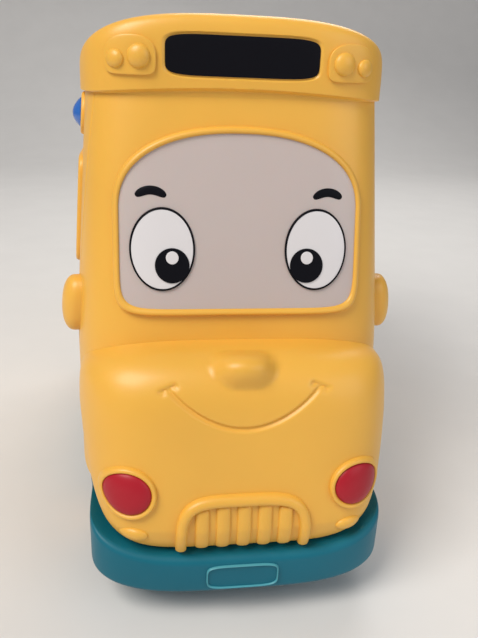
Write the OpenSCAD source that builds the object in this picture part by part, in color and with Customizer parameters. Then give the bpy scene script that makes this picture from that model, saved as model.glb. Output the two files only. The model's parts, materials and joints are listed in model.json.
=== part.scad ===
// Toy bus on free-rolling wheels, with a smiling front.
// Front faces -Y, left is -X, up is +Z. The wheels touch the ground at Z = 0.

/* [Body] */
// Height of the ground clearance under the chassis
ground_gap = 12; // [9:0.5:15]
// Height of the chassis top edge, where the yellow shells begin
chassis_top = 39; // [37:0.5:42]
// Height of the waist, where the shells are widest
waist_z = 95; // [85:1:105]
// Height of the upper rim of the shells
body_top = 179; // [174:1:184]
// Half width of the shells at the waist
waist_half_w = 61; // [57:0.5:65]
// Narrowing of the shells at the chassis, on each side
base_in = 0.5; // [0:0.5:2]
// Narrowing of the shells at the upper rim, on each side
top_in = 5.5; // [4:0.5:8]
// Distance of the shell front ahead of the origin at the chassis
base_front = 96; // [92:0.5:100]
// Setback of the shell front at the waist
waist_set = 11; // [8:0.5:13]
// Setback of the shell front at the upper rim
top_set = 28; // [24:0.5:31]
// Distance of the shell back behind the origin at the chassis
base_back = 114; // [110:0.5:118]
// Lean of the shell back towards the upper rim
back_lean = 6; // [3:0.5:10]
// Wall of the moulded shells
wall = 2.5; // [2:0.1:3]
// Squareness of the plan outline, 2 is an oval
plan_square_share = 6; // [5:0.5:7]
// Setback of the parting line from the shell front at the chassis
seam_set = 38; // [34:0.5:42]

/* [Roof] */
// Height of the crown above the upper rim
roof_rise = 26; // [23:0.5:29]
// Overhang of the lip outside the shells
lip_out = 1.8; // [1.5:0.1:2.5]
// Distance of the sign insert from the side of the upper rim
sign_in = 29.5; // [27:0.5:33]
// Half height of the sign insert
sign_half_h = 6.4; // [5:0.1:7]
// Half width of a roof lamp plate
pod_half_w = 8.4; // [7:0.1:9]
// Radius of the larger dome on a lamp plate
pod_big_r = 3.8; // [3:0.1:4.5]
// Radius of the smaller dome on a lamp plate
pod_small_r = 2.9; // [2:0.1:3.5]

/* [Windscreen and face] */
// Distance of the windscreen frame from the side of the upper rim
screen_in = 11; // [9:0.5:13]
// Height of the middle line of the windscreen
screen_z = 142; // [138:0.5:146]
// Rise of the arched top of the windscreen above its middle line
screen_rise = 28; // [25:0.5:30]
// Drop of the lower edge of the windscreen below its middle line
screen_drop = 36; // [33:0.5:37]
// Width of the bead round the windscreen
bead_w = 2.4; // [2:0.1:3]
// Height of the bead over the shell
bead_h = 2.4; // [2:0.1:3]
// Half width of an eye
eye_half_w = 11.4; // [9:0.1:13]
// Half height of an eye
eye_half_h = 14.2; // [12:0.1:16]
// Distance of an eye's middle from the side of the windscreen frame
eye_in = 17.2; // [16:0.1:19]
// Drop of the eye centres below the middle line of the windscreen
eye_drop = 13; // [10:0.5:16]
// Radius of a pupil
pupil_r = 6; // [5:0.1:6.4]
// Half length of an eyebrow
brow_half_w = 5.4; // [4:0.1:7]

/* [Hood] */
// Distance of the hood's side from the side of the waist
hood_in = 2.5; // [1.5:0.5:4]
// Height of the middle line of the hood
hood_z = 70; // [67:0.5:73]
// Rise of the hood top above its middle line
hood_rise = 27; // [25:0.5:29]
// Drop of the hood bottom below its middle line
hood_drop = 42; // [40:0.2:43]
// Bulge of the hood ahead of the shell
hood_bulge = 19; // [16:0.5:21]
// Half width of the round nose
nose_half_w = 11; // [8:0.5:12]
// Height of the nose over the hood
nose_h = 8; // [6:0.5:10]
// Half width of a head lamp lens
lamp_half_w = 8.4; // [7:0.1:9.5]
// Half height of a head lamp lens
lamp_half_h = 7.4; // [6:0.1:9]
// Distance of a head lamp's middle from the side of the hood
lamp_in = 18.2; // [16:0.1:20]
// Height of the head lamps
lamp_z = 53; // [51:0.5:55]
// Distance of the grille from the side of the hood
grille_in = 34.5; // [33:0.5:37]
// Height of the grille arch
grille_h = 22; // [19:0.5:23]
// Number of upright grille bars
grille_bars = 5; // [3:1:7]

/* [Bumpers] */
// Reach of the front bumper ahead of the shells
front_bumper_l = 24; // [22:0.5:26]
// Reach of the rear bumper behind the shells
rear_bumper_l = 6; // [5:0.5:8]
// Distance of a bumper's end from the side of the shells
bumper_in = 6; // [4:0.5:8]
// Height of the bumper top in the middle
bumper_top = 27.4; // [25:0.2:27.4]
// Rise of a bumper's top edge towards its ends
bumper_lift = 9; // [7:0.5:10]
// Half width of the bare number plate
plate_half_w = 13; // [10:0.5:15]

/* [Running gear] */
// Radius of a tyre
tyre_r = 19; // [17:0.5:20]
// Width of a tyre
tyre_w = 13; // [10:0.5:14]
// Radius of a steel axle
axle_r = 2; // [1.5:0.1:2.5]
// Setback of the front axle from the shell front
front_axle_set = 39; // [37:0.5:42]
// Setback of the rear axle from the shell back
rear_axle_set = 46; // [44:0.5:50]
// Distance of a tyre's middle from the side of the shells
track_in = 11; // [10:0.5:12]

/* [Power and sound] */
// Radius of a battery cell
cell_r = 7.25; // [7:0.05:7.25]
// Length of a battery cell
cell_l = 50.5; // [48:0.5:51]
// Number of battery cells
cells = 3; // [2:1:3]
// Radius of the speaker
speaker_r = 17; // [14:0.5:18]
// Radius of the blue side button
button_r = 5.7; // [5:0.1:7]
// Travel of the side button
button_travel = 2.5; // [1.5:0.1:3]
// Height of the side button
button_z = 170; // [166:0.5:172]
// Distance of the side button behind the parting line
button_set = 24; // [20:0.5:30]
// Travel of the power switch
switch_travel = 4; // [3:0.1:4.5]

/* [Hidden] */

yellow = [0.94, 0.66, 0.2];
teal = [0.04, 0.33, 0.44];
black = [0.03, 0.03, 0.04];
cream = [0.82, 0.78, 0.76];
crimson = [0.65, 0.06, 0.1];
steel = [0.7, 0.71, 0.73];
rubber = [0.09, 0.09, 0.1];
smoke = [0.42, 0.46, 0.5];
sky = [0.1, 0.35, 0.75];
board_green = [0.07, 0.32, 0.18];

// One overrun serves all cuts
over = 0.5;
// Gap between a curved piece and the surface that carries it
seat = 0.3;
// Radial clearance of a shaft in its bearing
run_gap = 0.05;
// Clearance of a loose sliding fit
slide_gap = 0.3;
// Clearance of a part dropped into a recess
drop_gap = 0.25;

// Points round an outline, along a wall arc and across a bumper
round_n = 32;
arc_n = 36;
bumper_steps = 28;
// Largest share of a half width at which a skin is still evaluated
edge_share = 0.9999;

// Signed power, point of a squared oval, and a straight change with height
function signed_pow(v, e) = sign(v) * pow(abs(v), e);
function between(z, z_a, a, z_b, b) = a + (b - a) * (z - z_a) / (z_b - z_a);
function squared(v, n) = pow(1 - pow(min(abs(v), edge_share), n), 1 / n);
function oval_point(t, n) = [signed_pow(cos(t), 2 / n), signed_pow(sin(t), 2 / n)];

// Outline with its own height and squareness above and below its middle line
function outline(w, up, up_n, down, down_n, count = round_n) = [
    for (i = [0 : count - 1])
        let (t = 360 * (i + 0.5) / count, p = oval_point(t, t < 180 ? up_n : down_n))
        [w * p.x, (t < 180 ? up : down) * p.y]];

// Widths and lengths that follow from the driving sizes
base_half_w = waist_half_w - base_in;
top_half_w = waist_half_w - top_in;
waist_front = base_front - waist_set;
top_front = base_front - top_set;
top_back = base_back - back_lean;
seam_front = base_front - seam_set;
sign_half_w = top_half_w - sign_in;
screen_half_w = top_half_w - screen_in;
eye_x = screen_half_w - eye_in;
eye_z = screen_z - eye_drop;
hood_half_w = waist_half_w - hood_in;
lamp_x = hood_half_w - lamp_in;
grille_half_w = hood_half_w - grille_in;
bumper_half_w = base_half_w - bumper_in;
front_axle = base_front - front_axle_set;
rear_axle = base_back - rear_axle_set;
track_half = base_half_w - track_in;

// Plan of the yellow shells at a height
function body_half_w(z) = z < waist_z
    ? between(z, chassis_top, base_half_w, waist_z, waist_half_w)
    : between(z, waist_z, waist_half_w, body_top, top_half_w);
function body_front(z) = z < waist_z
    ? between(z, chassis_top, -base_front, waist_z, -waist_front)
    : between(z, waist_z, -waist_front, body_top, -top_front);
function body_back(z) = between(z, chassis_top, base_back, body_top, top_back);
function body_mid(z) = (body_front(z) + body_back(z)) / 2;
function body_half_l(z) = (body_back(z) - body_front(z)) / 2;
function front_y(x, z) = body_mid(z) - body_half_l(z) * squared(x / body_half_w(z), plan_square_share);
function back_y(x, z) = body_mid(z) + body_half_l(z) * squared(x / body_half_w(z), plan_square_share);
function side_x(y, z) =
    body_half_w(z) * squared((y - body_mid(z)) / body_half_l(z), plan_square_share);

// Roof: a loaf with a flat bottom on the shells, bowed in plan and rounded at its edges
roof_half_w = top_half_w + lip_out;
roof_mid = body_mid(body_top);
roof_half_l = body_half_l(body_top) + lip_out;
roof_arch_share = 3;
roof_pillow_share = 7;
roof_edge = 12;
function roof_reach(x, z) = min(edge_share, pow(pow(abs(x) / roof_half_w, roof_arch_share)
    + pow(max(0, z - body_top) / roof_rise, roof_arch_share), 1 / roof_arch_share));
function roof_depth(x, z) = roof_half_l * squared(x / roof_half_w, plan_square_share)
    - roof_edge * (1 - squared(roof_reach(x, z), roof_pillow_share));
function roof_y(x, z) = roof_mid - roof_depth(x, z);

// Hood: a pillow over the lower front, with a round nose
hood_up_share = 3.8;
hood_down_share = 5;
hood_taper_share = 0.15;
hood_top_share = 3;
hood_foot_share = 7;
hood_rim = 2.5;
hood_wall = 3.5;
hood_seat = 0.8;
nose_z_share = 0.89;
nose_tall_share = 0.78;
nose_tilt = 35;
nose_z = hood_z + nose_z_share * hood_rise;
function hood_base(x, z) = front_y(x, max(z, chassis_top)) - seat;
function hood_side(z) = hood_half_w * (1 - hood_taper_share * max(0, hood_z - z) / hood_drop);
function hood_reach(x, z) =
    let (h = z > hood_z ? hood_rise : hood_drop, n = z > hood_z ? hood_up_share : hood_down_share)
    min(edge_share, pow(pow(abs(x) / hood_side(z), n) + pow(abs(z - hood_z) / h, n), 1 / n));
function hood_power(z) =
    between(z, hood_z - hood_drop, hood_foot_share, hood_z + hood_rise, hood_top_share);
function hood_y(x, z) = hood_base(x, z) - hood_rim
    - hood_bulge * squared(hood_reach(x, z), hood_power(z));
function nose_reach(x, z) =
    let (tall = norm([hood_y(x, z) - hood_y(0, nose_z), z - nose_z]))
    norm([x, tall / nose_tall_share]) / nose_half_w;
function nose_bump(x, z) = nose_h * max(0, 1 - pow(nose_reach(x, z), 2));

// Skins take a place across, a height and an offset outwards, as seen by a viewer facing them
front_skin = function (a, z, off) [a, front_y(a, z) - off, z];
roof_skin = function (a, z, off) [a, roof_y(a, z) - off, z];
hood_skin = function (a, z, off)
    let (bump = nose_bump(a, z))
    [a, hood_y(a, z) - off - bump * cos(nose_tilt), z + bump * sin(nose_tilt)];
hood_inner_skin = function (a, z, off) [a, min(hood_base(a, z), hood_y(a, z) + hood_wall) - off, z];
bumper_skin = function (a, z, off) [a, -bumper_out(a, front_reach, front_bumper_end) - off, z];
back_skin = function (a, z, off) [-a, back_y(a, z) + off, z];
left_skin = function (a, z, off) [-side_x(-a, z) - off, -a, z];
right_skin = function (a, z, off) [side_x(a, z) + off, a, z];

// Triangles of a stack of rings with m points each, closed at both ends by strips
function stack_sides(levels, m) = [
    for (k = [0 : levels - 2], i = [0 : m - 1])
        let (a = k * m + i, b = k * m + (i + 1) % m)
        each [[a, a + m, b + m], [a, b + m, b]]];
function stack_cap(m, first, flip) = [
    for (i = [0 : m / 2 - 2])
        let (a = first + i, b = a + 1, c = first + m - 2 - i, d = c + 1)
        each flip ? [[a, c, b], [a, d, c]] : [[a, b, c], [a, c, d]]];

// Solid through a list of rings, each with the same even number of points
module loft(rings) {
    m = len(rings[0]);
    levels = len(rings);
    polyhedron(
        points = [for (r = rings) each r],
        faces = concat(stack_sides(levels, m), stack_cap(m, 0, false), stack_cap(m, (levels - 1) * m, true)));
}

// Domed or flat plate on a skin: its rim and crown stand off by given amounts
module skin_piece(skin, at, shape, back, rim, crown, dome_share = 2, steps = 4, rear_skin = undef) {
    m = len(shape);
    shares = [for (k = [0 : steps - 1]) cos(90 * k / steps)];
    front = [for (s = shares, p = shape)
        let (rise = pow(1 - pow(s, dome_share), 1 / dome_share))
        skin(at.x + s * p.x, at.y + s * p.y, rim + (crown - rim) * rise)];
    under = is_undef(rear_skin) ? skin : rear_skin;
    rear = [for (s = shares, p = shape) under(at.x + s * p.x, at.y + s * p.y, back)];
    centres = [skin(at.x, at.y, crown), under(at.x, at.y, back)];
    half = steps * m;
    inner = (steps - 1) * m;
    polyhedron(
        points = concat(front, rear, centres),
        faces = concat(
            stack_sides(steps, m),
            [for (f = stack_sides(steps, m)) [f[0] + half, f[2] + half, f[1] + half]],
            [for (i = [0 : m - 1]) let (j = (i + 1) % m) each [
                [i, j, half + j], [i, half + j, half + i],
                [inner + i, 2 * half, inner + j],
                [half + inner + i, half + inner + j, 2 * half + 1]]]));
}

// Section of a moulded bead: places across it and heights, as shares
bead_shares = [[0, 0], [0, 0.55], [0.2, 0.9], [0.4, 1], [0.6, 1], [0.8, 0.9], [1, 0.55], [1, 0]];

// Bead inside a closed outline on a skin
module skin_bead(skin, at, shape, width, back, crown) {
    m = len(shape);
    q = len(bead_shares);
    half_w = max([for (p = shape) p.x]);
    up = max([for (p = shape) p.y]);
    down = -min([for (p = shape) p.y]);
    polyhedron(
        points = [for (p = shape, s = bead_shares) skin(
            at.x + p.x * (1 - s.x * width / half_w),
            at.y + p.y * (1 - s.x * width / (p.y > 0 ? up : down)),
            back + s.y * (crown - back))],
        faces = [for (i = [0 : m - 1], j = [0 : q - 1])
            let (n = (i + 1) % m, k = (j + 1) % q, a = i * q + j, b = i * q + k, c = n * q + j, d = n * q + k)
            each [[a, b, d], [a, d, c]]]);
}

// Rib along an open path on a skin
module skin_rib(skin, path, width, back, crown) {
    last = len(path) - 1;
    loft([for (i = [0 : last])
        let (d = path[min(i + 1, last)] - path[max(i - 1, 0)], n = [-d.y, d.x] / norm(d))
        [for (s = bead_shares)
            let (p = path[i] + n * width * (s.x - 0.5))
            skin(p.x, p.y, back + s.y * (crown - back))]]);
}

// Ring of the squared-oval plan at a height, and a part of it between two angles
function plan_ring(half_w, mid, half_l, z, count, n) = [
    for (i = [0 : count - 1])
        let (p = oval_point(360 * (i + 0.5) / count, n))
        [half_w * p.x, mid + half_l * p.y, z]];
function wall_arc(z, from, to, inset) = [
    for (i = [0 : arc_n]) let (p = oval_point(from + (to - from) * i / arc_n, plan_square_share))
    [(body_half_w(z) - inset) * p.x, body_mid(z) + (body_half_l(z) - inset) * p.y, z]];
function seam_angle(z, inset) =
    asin(pow((body_mid(z) + seam_front) / (body_half_l(z) - inset), plan_square_share / 2));
function reversed(v) = [for (i = [len(v) - 1 : -1 : 0]) v[i]];
function front_section(z) = concat(
    wall_arc(z, 180 + seam_angle(z, 0), 360 - seam_angle(z, 0), 0),
    reversed(wall_arc(z, 180 + seam_angle(z, wall), 360 - seam_angle(z, wall), wall)));
function rear_section(z) = concat(
    wall_arc(z, -seam_angle(z, 0), 180 + seam_angle(z, 0), 0),
    reversed(wall_arc(z, -seam_angle(z, wall), 180 + seam_angle(z, wall), wall)));
body_levels = [chassis_top, waist_z, body_top];

// Chassis plan, a little inside the shells
chassis_inset = 1.5;
chassis_half_w = base_half_w - chassis_inset;
chassis_front = base_front - chassis_inset;
chassis_back = base_back - chassis_inset;
chassis_mid = (chassis_back - chassis_front) / 2;
chassis_half_l = (chassis_back + chassis_front) / 2;
chassis_wall = 2.5;
floor_t = 3;
floor_top = ground_gap + floor_t;
function chassis_y(x) = chassis_half_l * squared(x / chassis_half_w, plan_square_share);
module chassis_plan(inset) {
    polygon([for (p = plan_ring(chassis_half_w - inset, chassis_mid, chassis_half_l - inset, 0, round_n * 2,
        plan_square_share)) [p.x, p.y]]);
}

// Wheel wells and axle bosses
axles = [-front_axle, rear_axle];
well_gap = 2.5;
well_wall = 2;
well_r = tyre_r + well_gap;
well_in = track_half - tyre_w / 2 - well_gap;
well_side = well_in - well_wall;
boss_r = 5;
boss_in = well_side - boss_r;
tyre_core_share = 0.66;
hub_r = tyre_r * tyre_core_share;
axle_end = track_half + tyre_w / 2 - axle_r;

// Battery bay, centred a little ahead of the origin
bay_mid = -4;
door_t = 2;
bay_wall = 2;
cell_gap = 0.4;
contact_t = 0.8;
contact_room = 3;
cell_pitch = 2 * cell_r + cell_gap;
bay_half_w = cell_l / 2 + contact_room + contact_t;
bay_half_l = cells * cell_pitch / 2 + cell_gap;
bay_top = ground_gap + door_t + 2 * cell_r + 2 * cell_gap;
door_lip = 3;
cell_z = ground_gap + door_t + cell_r + cell_gap;

// Screws up through posts into lugs on the rear shell
screw_r = 1.5;
screw_head_r = 3;
screw_head_t = 2;
screw_gap = 0.1;
post_r = 4.5;
post_in = 13;
post_x = chassis_half_w - post_in;
post_ys = [-22, 38];
lug_h = 7;
lug_half = 5;
lug_hole_depth = 5;
door_screw_y = bay_mid + bay_half_l + bay_wall + screw_head_r;
door_tab_l = 2 * screw_head_r + bay_wall;

// Power switch in the floor
switch_x = -27;
switch_set = 11.5;
switch_y = rear_axle - well_r - well_wall - switch_set;
knob_half_w = 2.2;
knob_half_l = 2.3;
knob_drop = 1.5;
flange_half_w = 3.6;
flange_half_l = 4.4;
flange_t = 1.6;
housing_wall = 1.6;
housing_h = 6;

// Side button and its board
button_y = button_set - seam_front;
button_x = side_x(button_y, button_z);
button_proud = 4.4;
button_dome_h = 3.2;
button_seat = 1.3;
flange_out = 2;
button_flange_t = 1.5;
button_board_t = 1.6;
button_board_half = 13.2;
button_board_half_h = 6;
tact_half = 3;
tact_h = 4;
board_post_r = 2;
flange_face = button_x - wall - button_seat;
board_x = flange_face - button_flange_t - button_travel - tact_h - seat;
board_post_y = button_board_half - board_post_r;

// Circuit board and speaker
board_t = 1.6;
board_half_w = 26;
board_half_l = 20;
board_lift = 3;
standoff_r = 2.5;
chip_half = 5;
chip_h = 2;
speaker_y = bay_mid + bay_half_l + bay_wall + door_tab_l + speaker_r + 2 * slide_gap;
speaker_rim_h = 4;
magnet_share = 0.6;
magnet_r = speaker_r * magnet_share;
speaker_h = 11;

module axle_cylinder(r, from, to, y) {
    translate([from, y, tyre_r])
        rotate([0, 90, 0])
            cylinder(r = r, h = to - from, $fn = 64);
}

module block(low, high) {
    translate(low)
        cube(high - low);
}

module post(at, r, from, to) {
    translate([at.x, at.y, from])
        cylinder(r = r, h = to - from, $fn = 48);
}

// Chassis tub with wheel wells, battery bay, posts and the switch slot
module chassis() {
    color(teal)
    difference() {
        union() {
            translate([0, 0, ground_gap])
                linear_extrude(floor_t)
                    chassis_plan(0);
            translate([0, 0, ground_gap])
                linear_extrude(chassis_top - ground_gap)
                    difference() {
                        chassis_plan(0);
                        chassis_plan(chassis_wall);
                    }
            intersection() {
                translate([0, 0, ground_gap])
                    linear_extrude(chassis_top - ground_gap)
                        chassis_plan(0);
                union() {
                    for (y = axles, s = [0, 1])
                        mirror([s, 0, 0]) {
                            axle_cylinder(well_r + well_wall, well_side, chassis_half_w, y);
                            axle_cylinder(boss_r, boss_in, well_in, y);
                        }
                    block([-bay_half_w - bay_wall, bay_mid - bay_half_l - bay_wall, ground_gap],
                        [bay_half_w + bay_wall, bay_mid + bay_half_l + bay_wall, bay_top + bay_wall]);
                }
            }
            for (s = [-1, 1], y = post_ys)
                post([s * post_x, y], post_r, ground_gap, chassis_top);
            for (s = [-1, 1], t = [-1, 1])
                post([s * (board_half_w - standoff_r), bay_mid + t * (board_half_l - standoff_r)],
                    standoff_r, bay_top, bay_top + bay_wall + board_lift);
        }
        for (y = axles, s = [0, 1])
            mirror([s, 0, 0]) {
                axle_cylinder(well_r, well_in, chassis_half_w + over, y);
                axle_cylinder(axle_r + run_gap, boss_in - over, well_in + over, y);
            }
        block([-bay_half_w, bay_mid - bay_half_l, ground_gap - over],
            [bay_half_w, bay_mid + bay_half_l, bay_top]);
        block([-bay_half_w - door_lip, bay_mid - bay_half_l - door_lip, ground_gap - over],
            [bay_half_w + door_lip, bay_mid + bay_half_l + door_tab_l, ground_gap + door_t]);
        post([0, door_screw_y], screw_r + screw_gap, ground_gap, floor_top + over);
        for (s = [-1, 1], y = post_ys) {
            post([s * post_x, y], screw_r + screw_gap, ground_gap - over, chassis_top + over);
            post([s * post_x, y], screw_head_r + screw_gap, ground_gap - over, ground_gap + screw_head_t);
        }
        block([switch_x - knob_half_w - slide_gap, switch_y - knob_half_l - slide_gap, ground_gap - over],
            [switch_x + knob_half_w + slide_gap, switch_y + knob_half_l + switch_travel + slide_gap,
                floor_top + over]);
    }
}

// Section of a bumper across the bus: rounded block that swells towards the middle
bumper_round = 3;
bumper_bow_share = 3.5;
front_bumper_end = 24;
rear_bumper_end = 14;
bumper_foot_lift = 5;
bumper_curve_share = 4;
plate_proud = 0.9;
plate_half_h = 4.6;
plate_square_share = 5;
front_reach = base_front + front_bumper_l - plate_proud;
rear_reach = base_back + rear_bumper_l;
bumper_gap = 1;
bumper_corner_shares = [for (t = [0 : 30 : 90]) [sin(t), cos(t)]];
function bumper_out(x, reach, end) = reach - end * (1 - squared(x / bumper_half_w, bumper_bow_share));
function bumper_section(x, reach, side) =
    let (u = pow(abs(x) / bumper_half_w, bumper_curve_share),
        out = bumper_out(x, reach, side < 0 ? front_bumper_end : rear_bumper_end),
        axle = side < 0 ? front_axle : rear_axle,
        in = max(chassis_y(x) + side * chassis_mid + seat, axle + well_r + bumper_gap),
        low = ground_gap + bumper_foot_lift * u,
        high = bumper_top + bumper_lift * u)
    concat(
        [[x, side * in, low], [x, side * in, high]],
        [for (c = bumper_corner_shares)
            [x, side * (out - bumper_round * (1 - c.x)), high - bumper_round * (1 - c.y)]],
        [for (c = reversed(bumper_corner_shares))
            [x, side * (out - bumper_round * (1 - c.x)), low + bumper_round * (1 - c.y)]]);
bumper_stations = [for (k = [0 : bumper_steps])
    bumper_half_w * edge_share * sin(180 * k / bumper_steps - 90)];

module front_bumper() {
    color(teal)
        loft([for (x = bumper_stations) bumper_section(x, front_reach, -1)]);
}

module rear_bumper() {
    color(teal)
        loft([for (x = bumper_stations) reversed(bumper_section(x, rear_reach, 1))]);
}

// Bare number plate on the front bumper
module number_plate() {
    color(teal)
        skin_piece(bumper_skin, [0, (ground_gap + bumper_top) / 2],
            outline(plate_half_w, plate_half_h, plate_square_share, plate_half_h, plate_square_share),
            seat, plate_proud, plate_proud, steps = 2);
}

// Battery door with a screwed tab
module battery_door() {
    color(teal)
    difference() {
        block([-bay_half_w - door_lip + drop_gap, bay_mid - bay_half_l - door_lip + drop_gap, ground_gap],
            [bay_half_w + door_lip - drop_gap, bay_mid + bay_half_l + door_tab_l - drop_gap,
                ground_gap + door_t]);
        post([0, door_screw_y], screw_r + screw_gap, ground_gap - over, ground_gap + door_t + over);
        post([0, door_screw_y], screw_head_r + screw_gap, ground_gap - over, ground_gap + door_t / 2);
    }
}

module door_screw() {
    color(steel) {
        post([0, door_screw_y], screw_head_r, ground_gap, ground_gap + door_t / 2);
        post([0, door_screw_y], screw_r, ground_gap + door_t / 2, floor_top);
    }
}

function cell_y(k) = bay_mid + (k - (cells - 1) / 2) * cell_pitch;

// Cells lie across the bus, with a nub at alternate ends
nub_r = 2.6;
nub_l = 1.2;
module battery_cells() {
    color(smoke)
        for (k = [0 : cells - 1])
            translate([0, cell_y(k), cell_z])
                rotate([0, k % 2 == 0 ? 90 : -90, 0]) {
                    translate([0, 0, -cell_l / 2])
                        cylinder(r = cell_r, h = cell_l - nub_l, $fn = 64);
                    translate([0, 0, cell_l / 2 - nub_l])
                        cylinder(r = nub_r, h = nub_l, $fn = 48);
                }
}

// Contact plates at both ends of the bay, each with a stud that reaches a cell
module battery_contacts() {
    stud_l = contact_room - seat;
    color(steel)
        for (k = [0 : cells - 1], s = [0, 1])
            mirror([s, 0, 0]) {
                block([bay_half_w - contact_t, cell_y(k) - nub_r * 2, cell_z - nub_r * 2],
                    [bay_half_w, cell_y(k) + nub_r * 2, cell_z + nub_r * 2]);
                translate([bay_half_w - contact_t - stud_l, cell_y(k), cell_z])
                    rotate([0, 90, 0])
                        cylinder(r = nub_r, h = stud_l, $fn = 48);
            }
}

module chassis_screws() {
    color(steel)
        for (s = [-1, 1], y = post_ys) {
            post([s * post_x, y], screw_head_r, ground_gap, ground_gap + screw_head_t);
            post([s * post_x, y], screw_r, ground_gap + screw_head_t, chassis_top + lug_hole_depth - seat);
        }
}

board_z = bay_top + bay_wall + board_lift;
module circuit_board() {
    color(board_green) {
        block([-board_half_w, bay_mid - board_half_l, board_z],
            [board_half_w, bay_mid + board_half_l, board_z + board_t]);
        for (x = [-board_half_w / 2, 0, board_half_w / 2])
            block([x - chip_half, bay_mid - chip_half, board_z + board_t],
                [x + chip_half, bay_mid + chip_half, board_z + board_t + chip_h]);
    }
}

// Speaker on the chassis floor, rim down
module speaker() {
    color(rubber) {
        post([0, speaker_y], speaker_r, floor_top, floor_top + speaker_rim_h);
        post([0, speaker_y], magnet_r, floor_top + speaker_rim_h, floor_top + speaker_h);
    }
}

// Housing over the power switch, open towards the floor
module switch_housing() {
    low = [switch_x - flange_half_w - slide_gap, switch_y - flange_half_l - slide_gap, floor_top];
    high = [switch_x + flange_half_w + slide_gap, switch_y + flange_half_l + switch_travel + slide_gap,
        floor_top + flange_t + 2 * slide_gap];
    color(rubber)
    difference() {
        block(low - [housing_wall, housing_wall, 0],
            [high.x + housing_wall, high.y + housing_wall, floor_top + housing_h]);
        block(low - [0, 0, over], high);
    }
}

module power_switch() {
    color(black) {
        block([switch_x - knob_half_w, switch_y - knob_half_l, ground_gap - knob_drop],
            [switch_x + knob_half_w, switch_y + knob_half_l, floor_top + slide_gap]);
        block([switch_x - flange_half_w, switch_y - flange_half_l, floor_top + slide_gap],
            [switch_x + flange_half_w, switch_y + flange_half_l, floor_top + slide_gap + flange_t]);
    }
}

// Yellow shells, parted in front of the doors
module front_shell() {
    color(yellow)
        loft([for (z = body_levels) front_section(z)]);
}

module rear_shell() {
    color(yellow)
    difference() {
        union() {
            loft([for (z = body_levels) rear_section(z)]);
            for (s = [0, 1], y = post_ys)
                mirror([s, 0, 0])
                    block([post_x - lug_half, y - lug_half, chassis_top],
                        [base_half_w - wall / 2, y + lug_half, chassis_top + lug_h]);
            for (t = [-1, 1])
                button_rod(board_post_r, board_x, button_x - wall / 2, button_y + t * board_post_y);
        }
        for (s = [-1, 1], y = post_ys)
            post([s * post_x, y], screw_r + screw_gap, chassis_top - over, chassis_top + lug_hole_depth);
        button_rod(button_r + slide_gap, button_x - 2 * wall, button_x + wall, button_y);
    }
}

// Rod across the bus on its left side, at the height of the side button
module button_rod(r, from, to, y) {
    translate([-to, y, button_z])
        rotate([0, 90, 0])
            cylinder(r = r, h = to - from, $fn = 64);
}

// Roof lid: plan rings from its inner crown down to the rim, then up outside to its crown
roof_steps = 8;
roof_top_share = 0.999;
roof_wall = 4;
roof_end_wall = 10;
roof_shares = [for (k = [0 : roof_steps]) roof_top_share * sin(90 * k / roof_steps)];
function roof_point(x, high, side, inset, end_inset) = [
    x * (1 - inset / roof_half_w),
    roof_mid + side * roof_depth(x, body_top + high) * (1 - end_inset / roof_half_l),
    body_top + high * (1 - inset / roof_rise)];
function roof_level(share, inset, end_inset) =
    let (half_w = roof_half_w * squared(share, roof_arch_share),
        xs = [for (i = [0 : round_n - 1]) half_w * sin(180 * i / (round_n - 1) - 90)])
    concat(
        [for (x = xs) roof_point(x, share * roof_rise, -1, inset, end_inset)],
        [for (x = reversed(xs)) roof_point(x, share * roof_rise, 1, inset, end_inset)]);
module roof_cap() {
    color(yellow)
        loft(concat(
            [for (s = reversed(roof_shares)) roof_level(s, roof_wall, roof_end_wall)],
            [for (s = roof_shares) roof_level(s, 0, 0)]));
}

// Bare black sign let into the roof front
sign_z_share = 0.5;
sign_square_share = 6;
sign_proud = 0.8;
sign_z = body_top + roof_rise * sign_z_share;
module sign_insert() {
    color(black)
        skin_piece(roof_skin, [0, sign_z],
            outline(sign_half_w, sign_half_h, sign_square_share, sign_half_h, sign_square_share),
            seat, sign_proud, sign_proud);
}

// Moulded lamp plates beside the sign, each with a large and a small dome
pod_gap = 2.9;
pod_up = 6.5;
pod_down = 5.8;
pod_up_share = 2.4;
pod_down_share = 5;
pod_plate_h = 1.1;
pod_dome_h = 3;
pod_big_in = 2.8;
pod_small_out = 5;
pod_small_drop = 1;
pod_z = sign_z - pod_small_drop;
module roof_lamps() {
    x = sign_half_w + pod_gap + pod_half_w;
    color(yellow)
        for (s = [-1, 1]) {
            skin_piece(roof_skin, [s * x, pod_z],
                outline(pod_half_w, pod_up, pod_up_share, pod_down, pod_down_share),
                seat, pod_plate_h, pod_plate_h, steps = 3);
            skin_piece(roof_skin, [s * (x - pod_big_in), pod_z], circle_outline(pod_big_r),
                pod_plate_h + seat, pod_plate_h + 2 * seat, pod_dome_h, steps = 3);
            skin_piece(roof_skin, [s * (x + pod_small_out), pod_z - pod_small_drop],
                circle_outline(pod_small_r),
                pod_plate_h + seat, pod_plate_h + 2 * seat, pod_dome_h, steps = 3);
        }
}

small_round_n = 24;
function circle_outline(r) = outline(r, r, 2, r, 2, small_round_n);

// Pale windscreen panel inside its raised frame
screen_up_share = 2.3;
screen_down_share = 11;
panel_h = 1.2;
function screen_outline(inset) = outline(screen_half_w - inset, screen_rise - inset, screen_up_share,
    screen_drop - inset, screen_down_share, round_n + small_round_n);
module windscreen_panel() {
    color(cream)
        skin_piece(front_skin, [0, screen_z], screen_outline(bead_w + seat), seat, panel_h, panel_h);
}

module windscreen_frame() {
    color(yellow)
        skin_bead(front_skin, [0, screen_z], screen_outline(0), bead_w, seat, bead_h);
}

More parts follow.
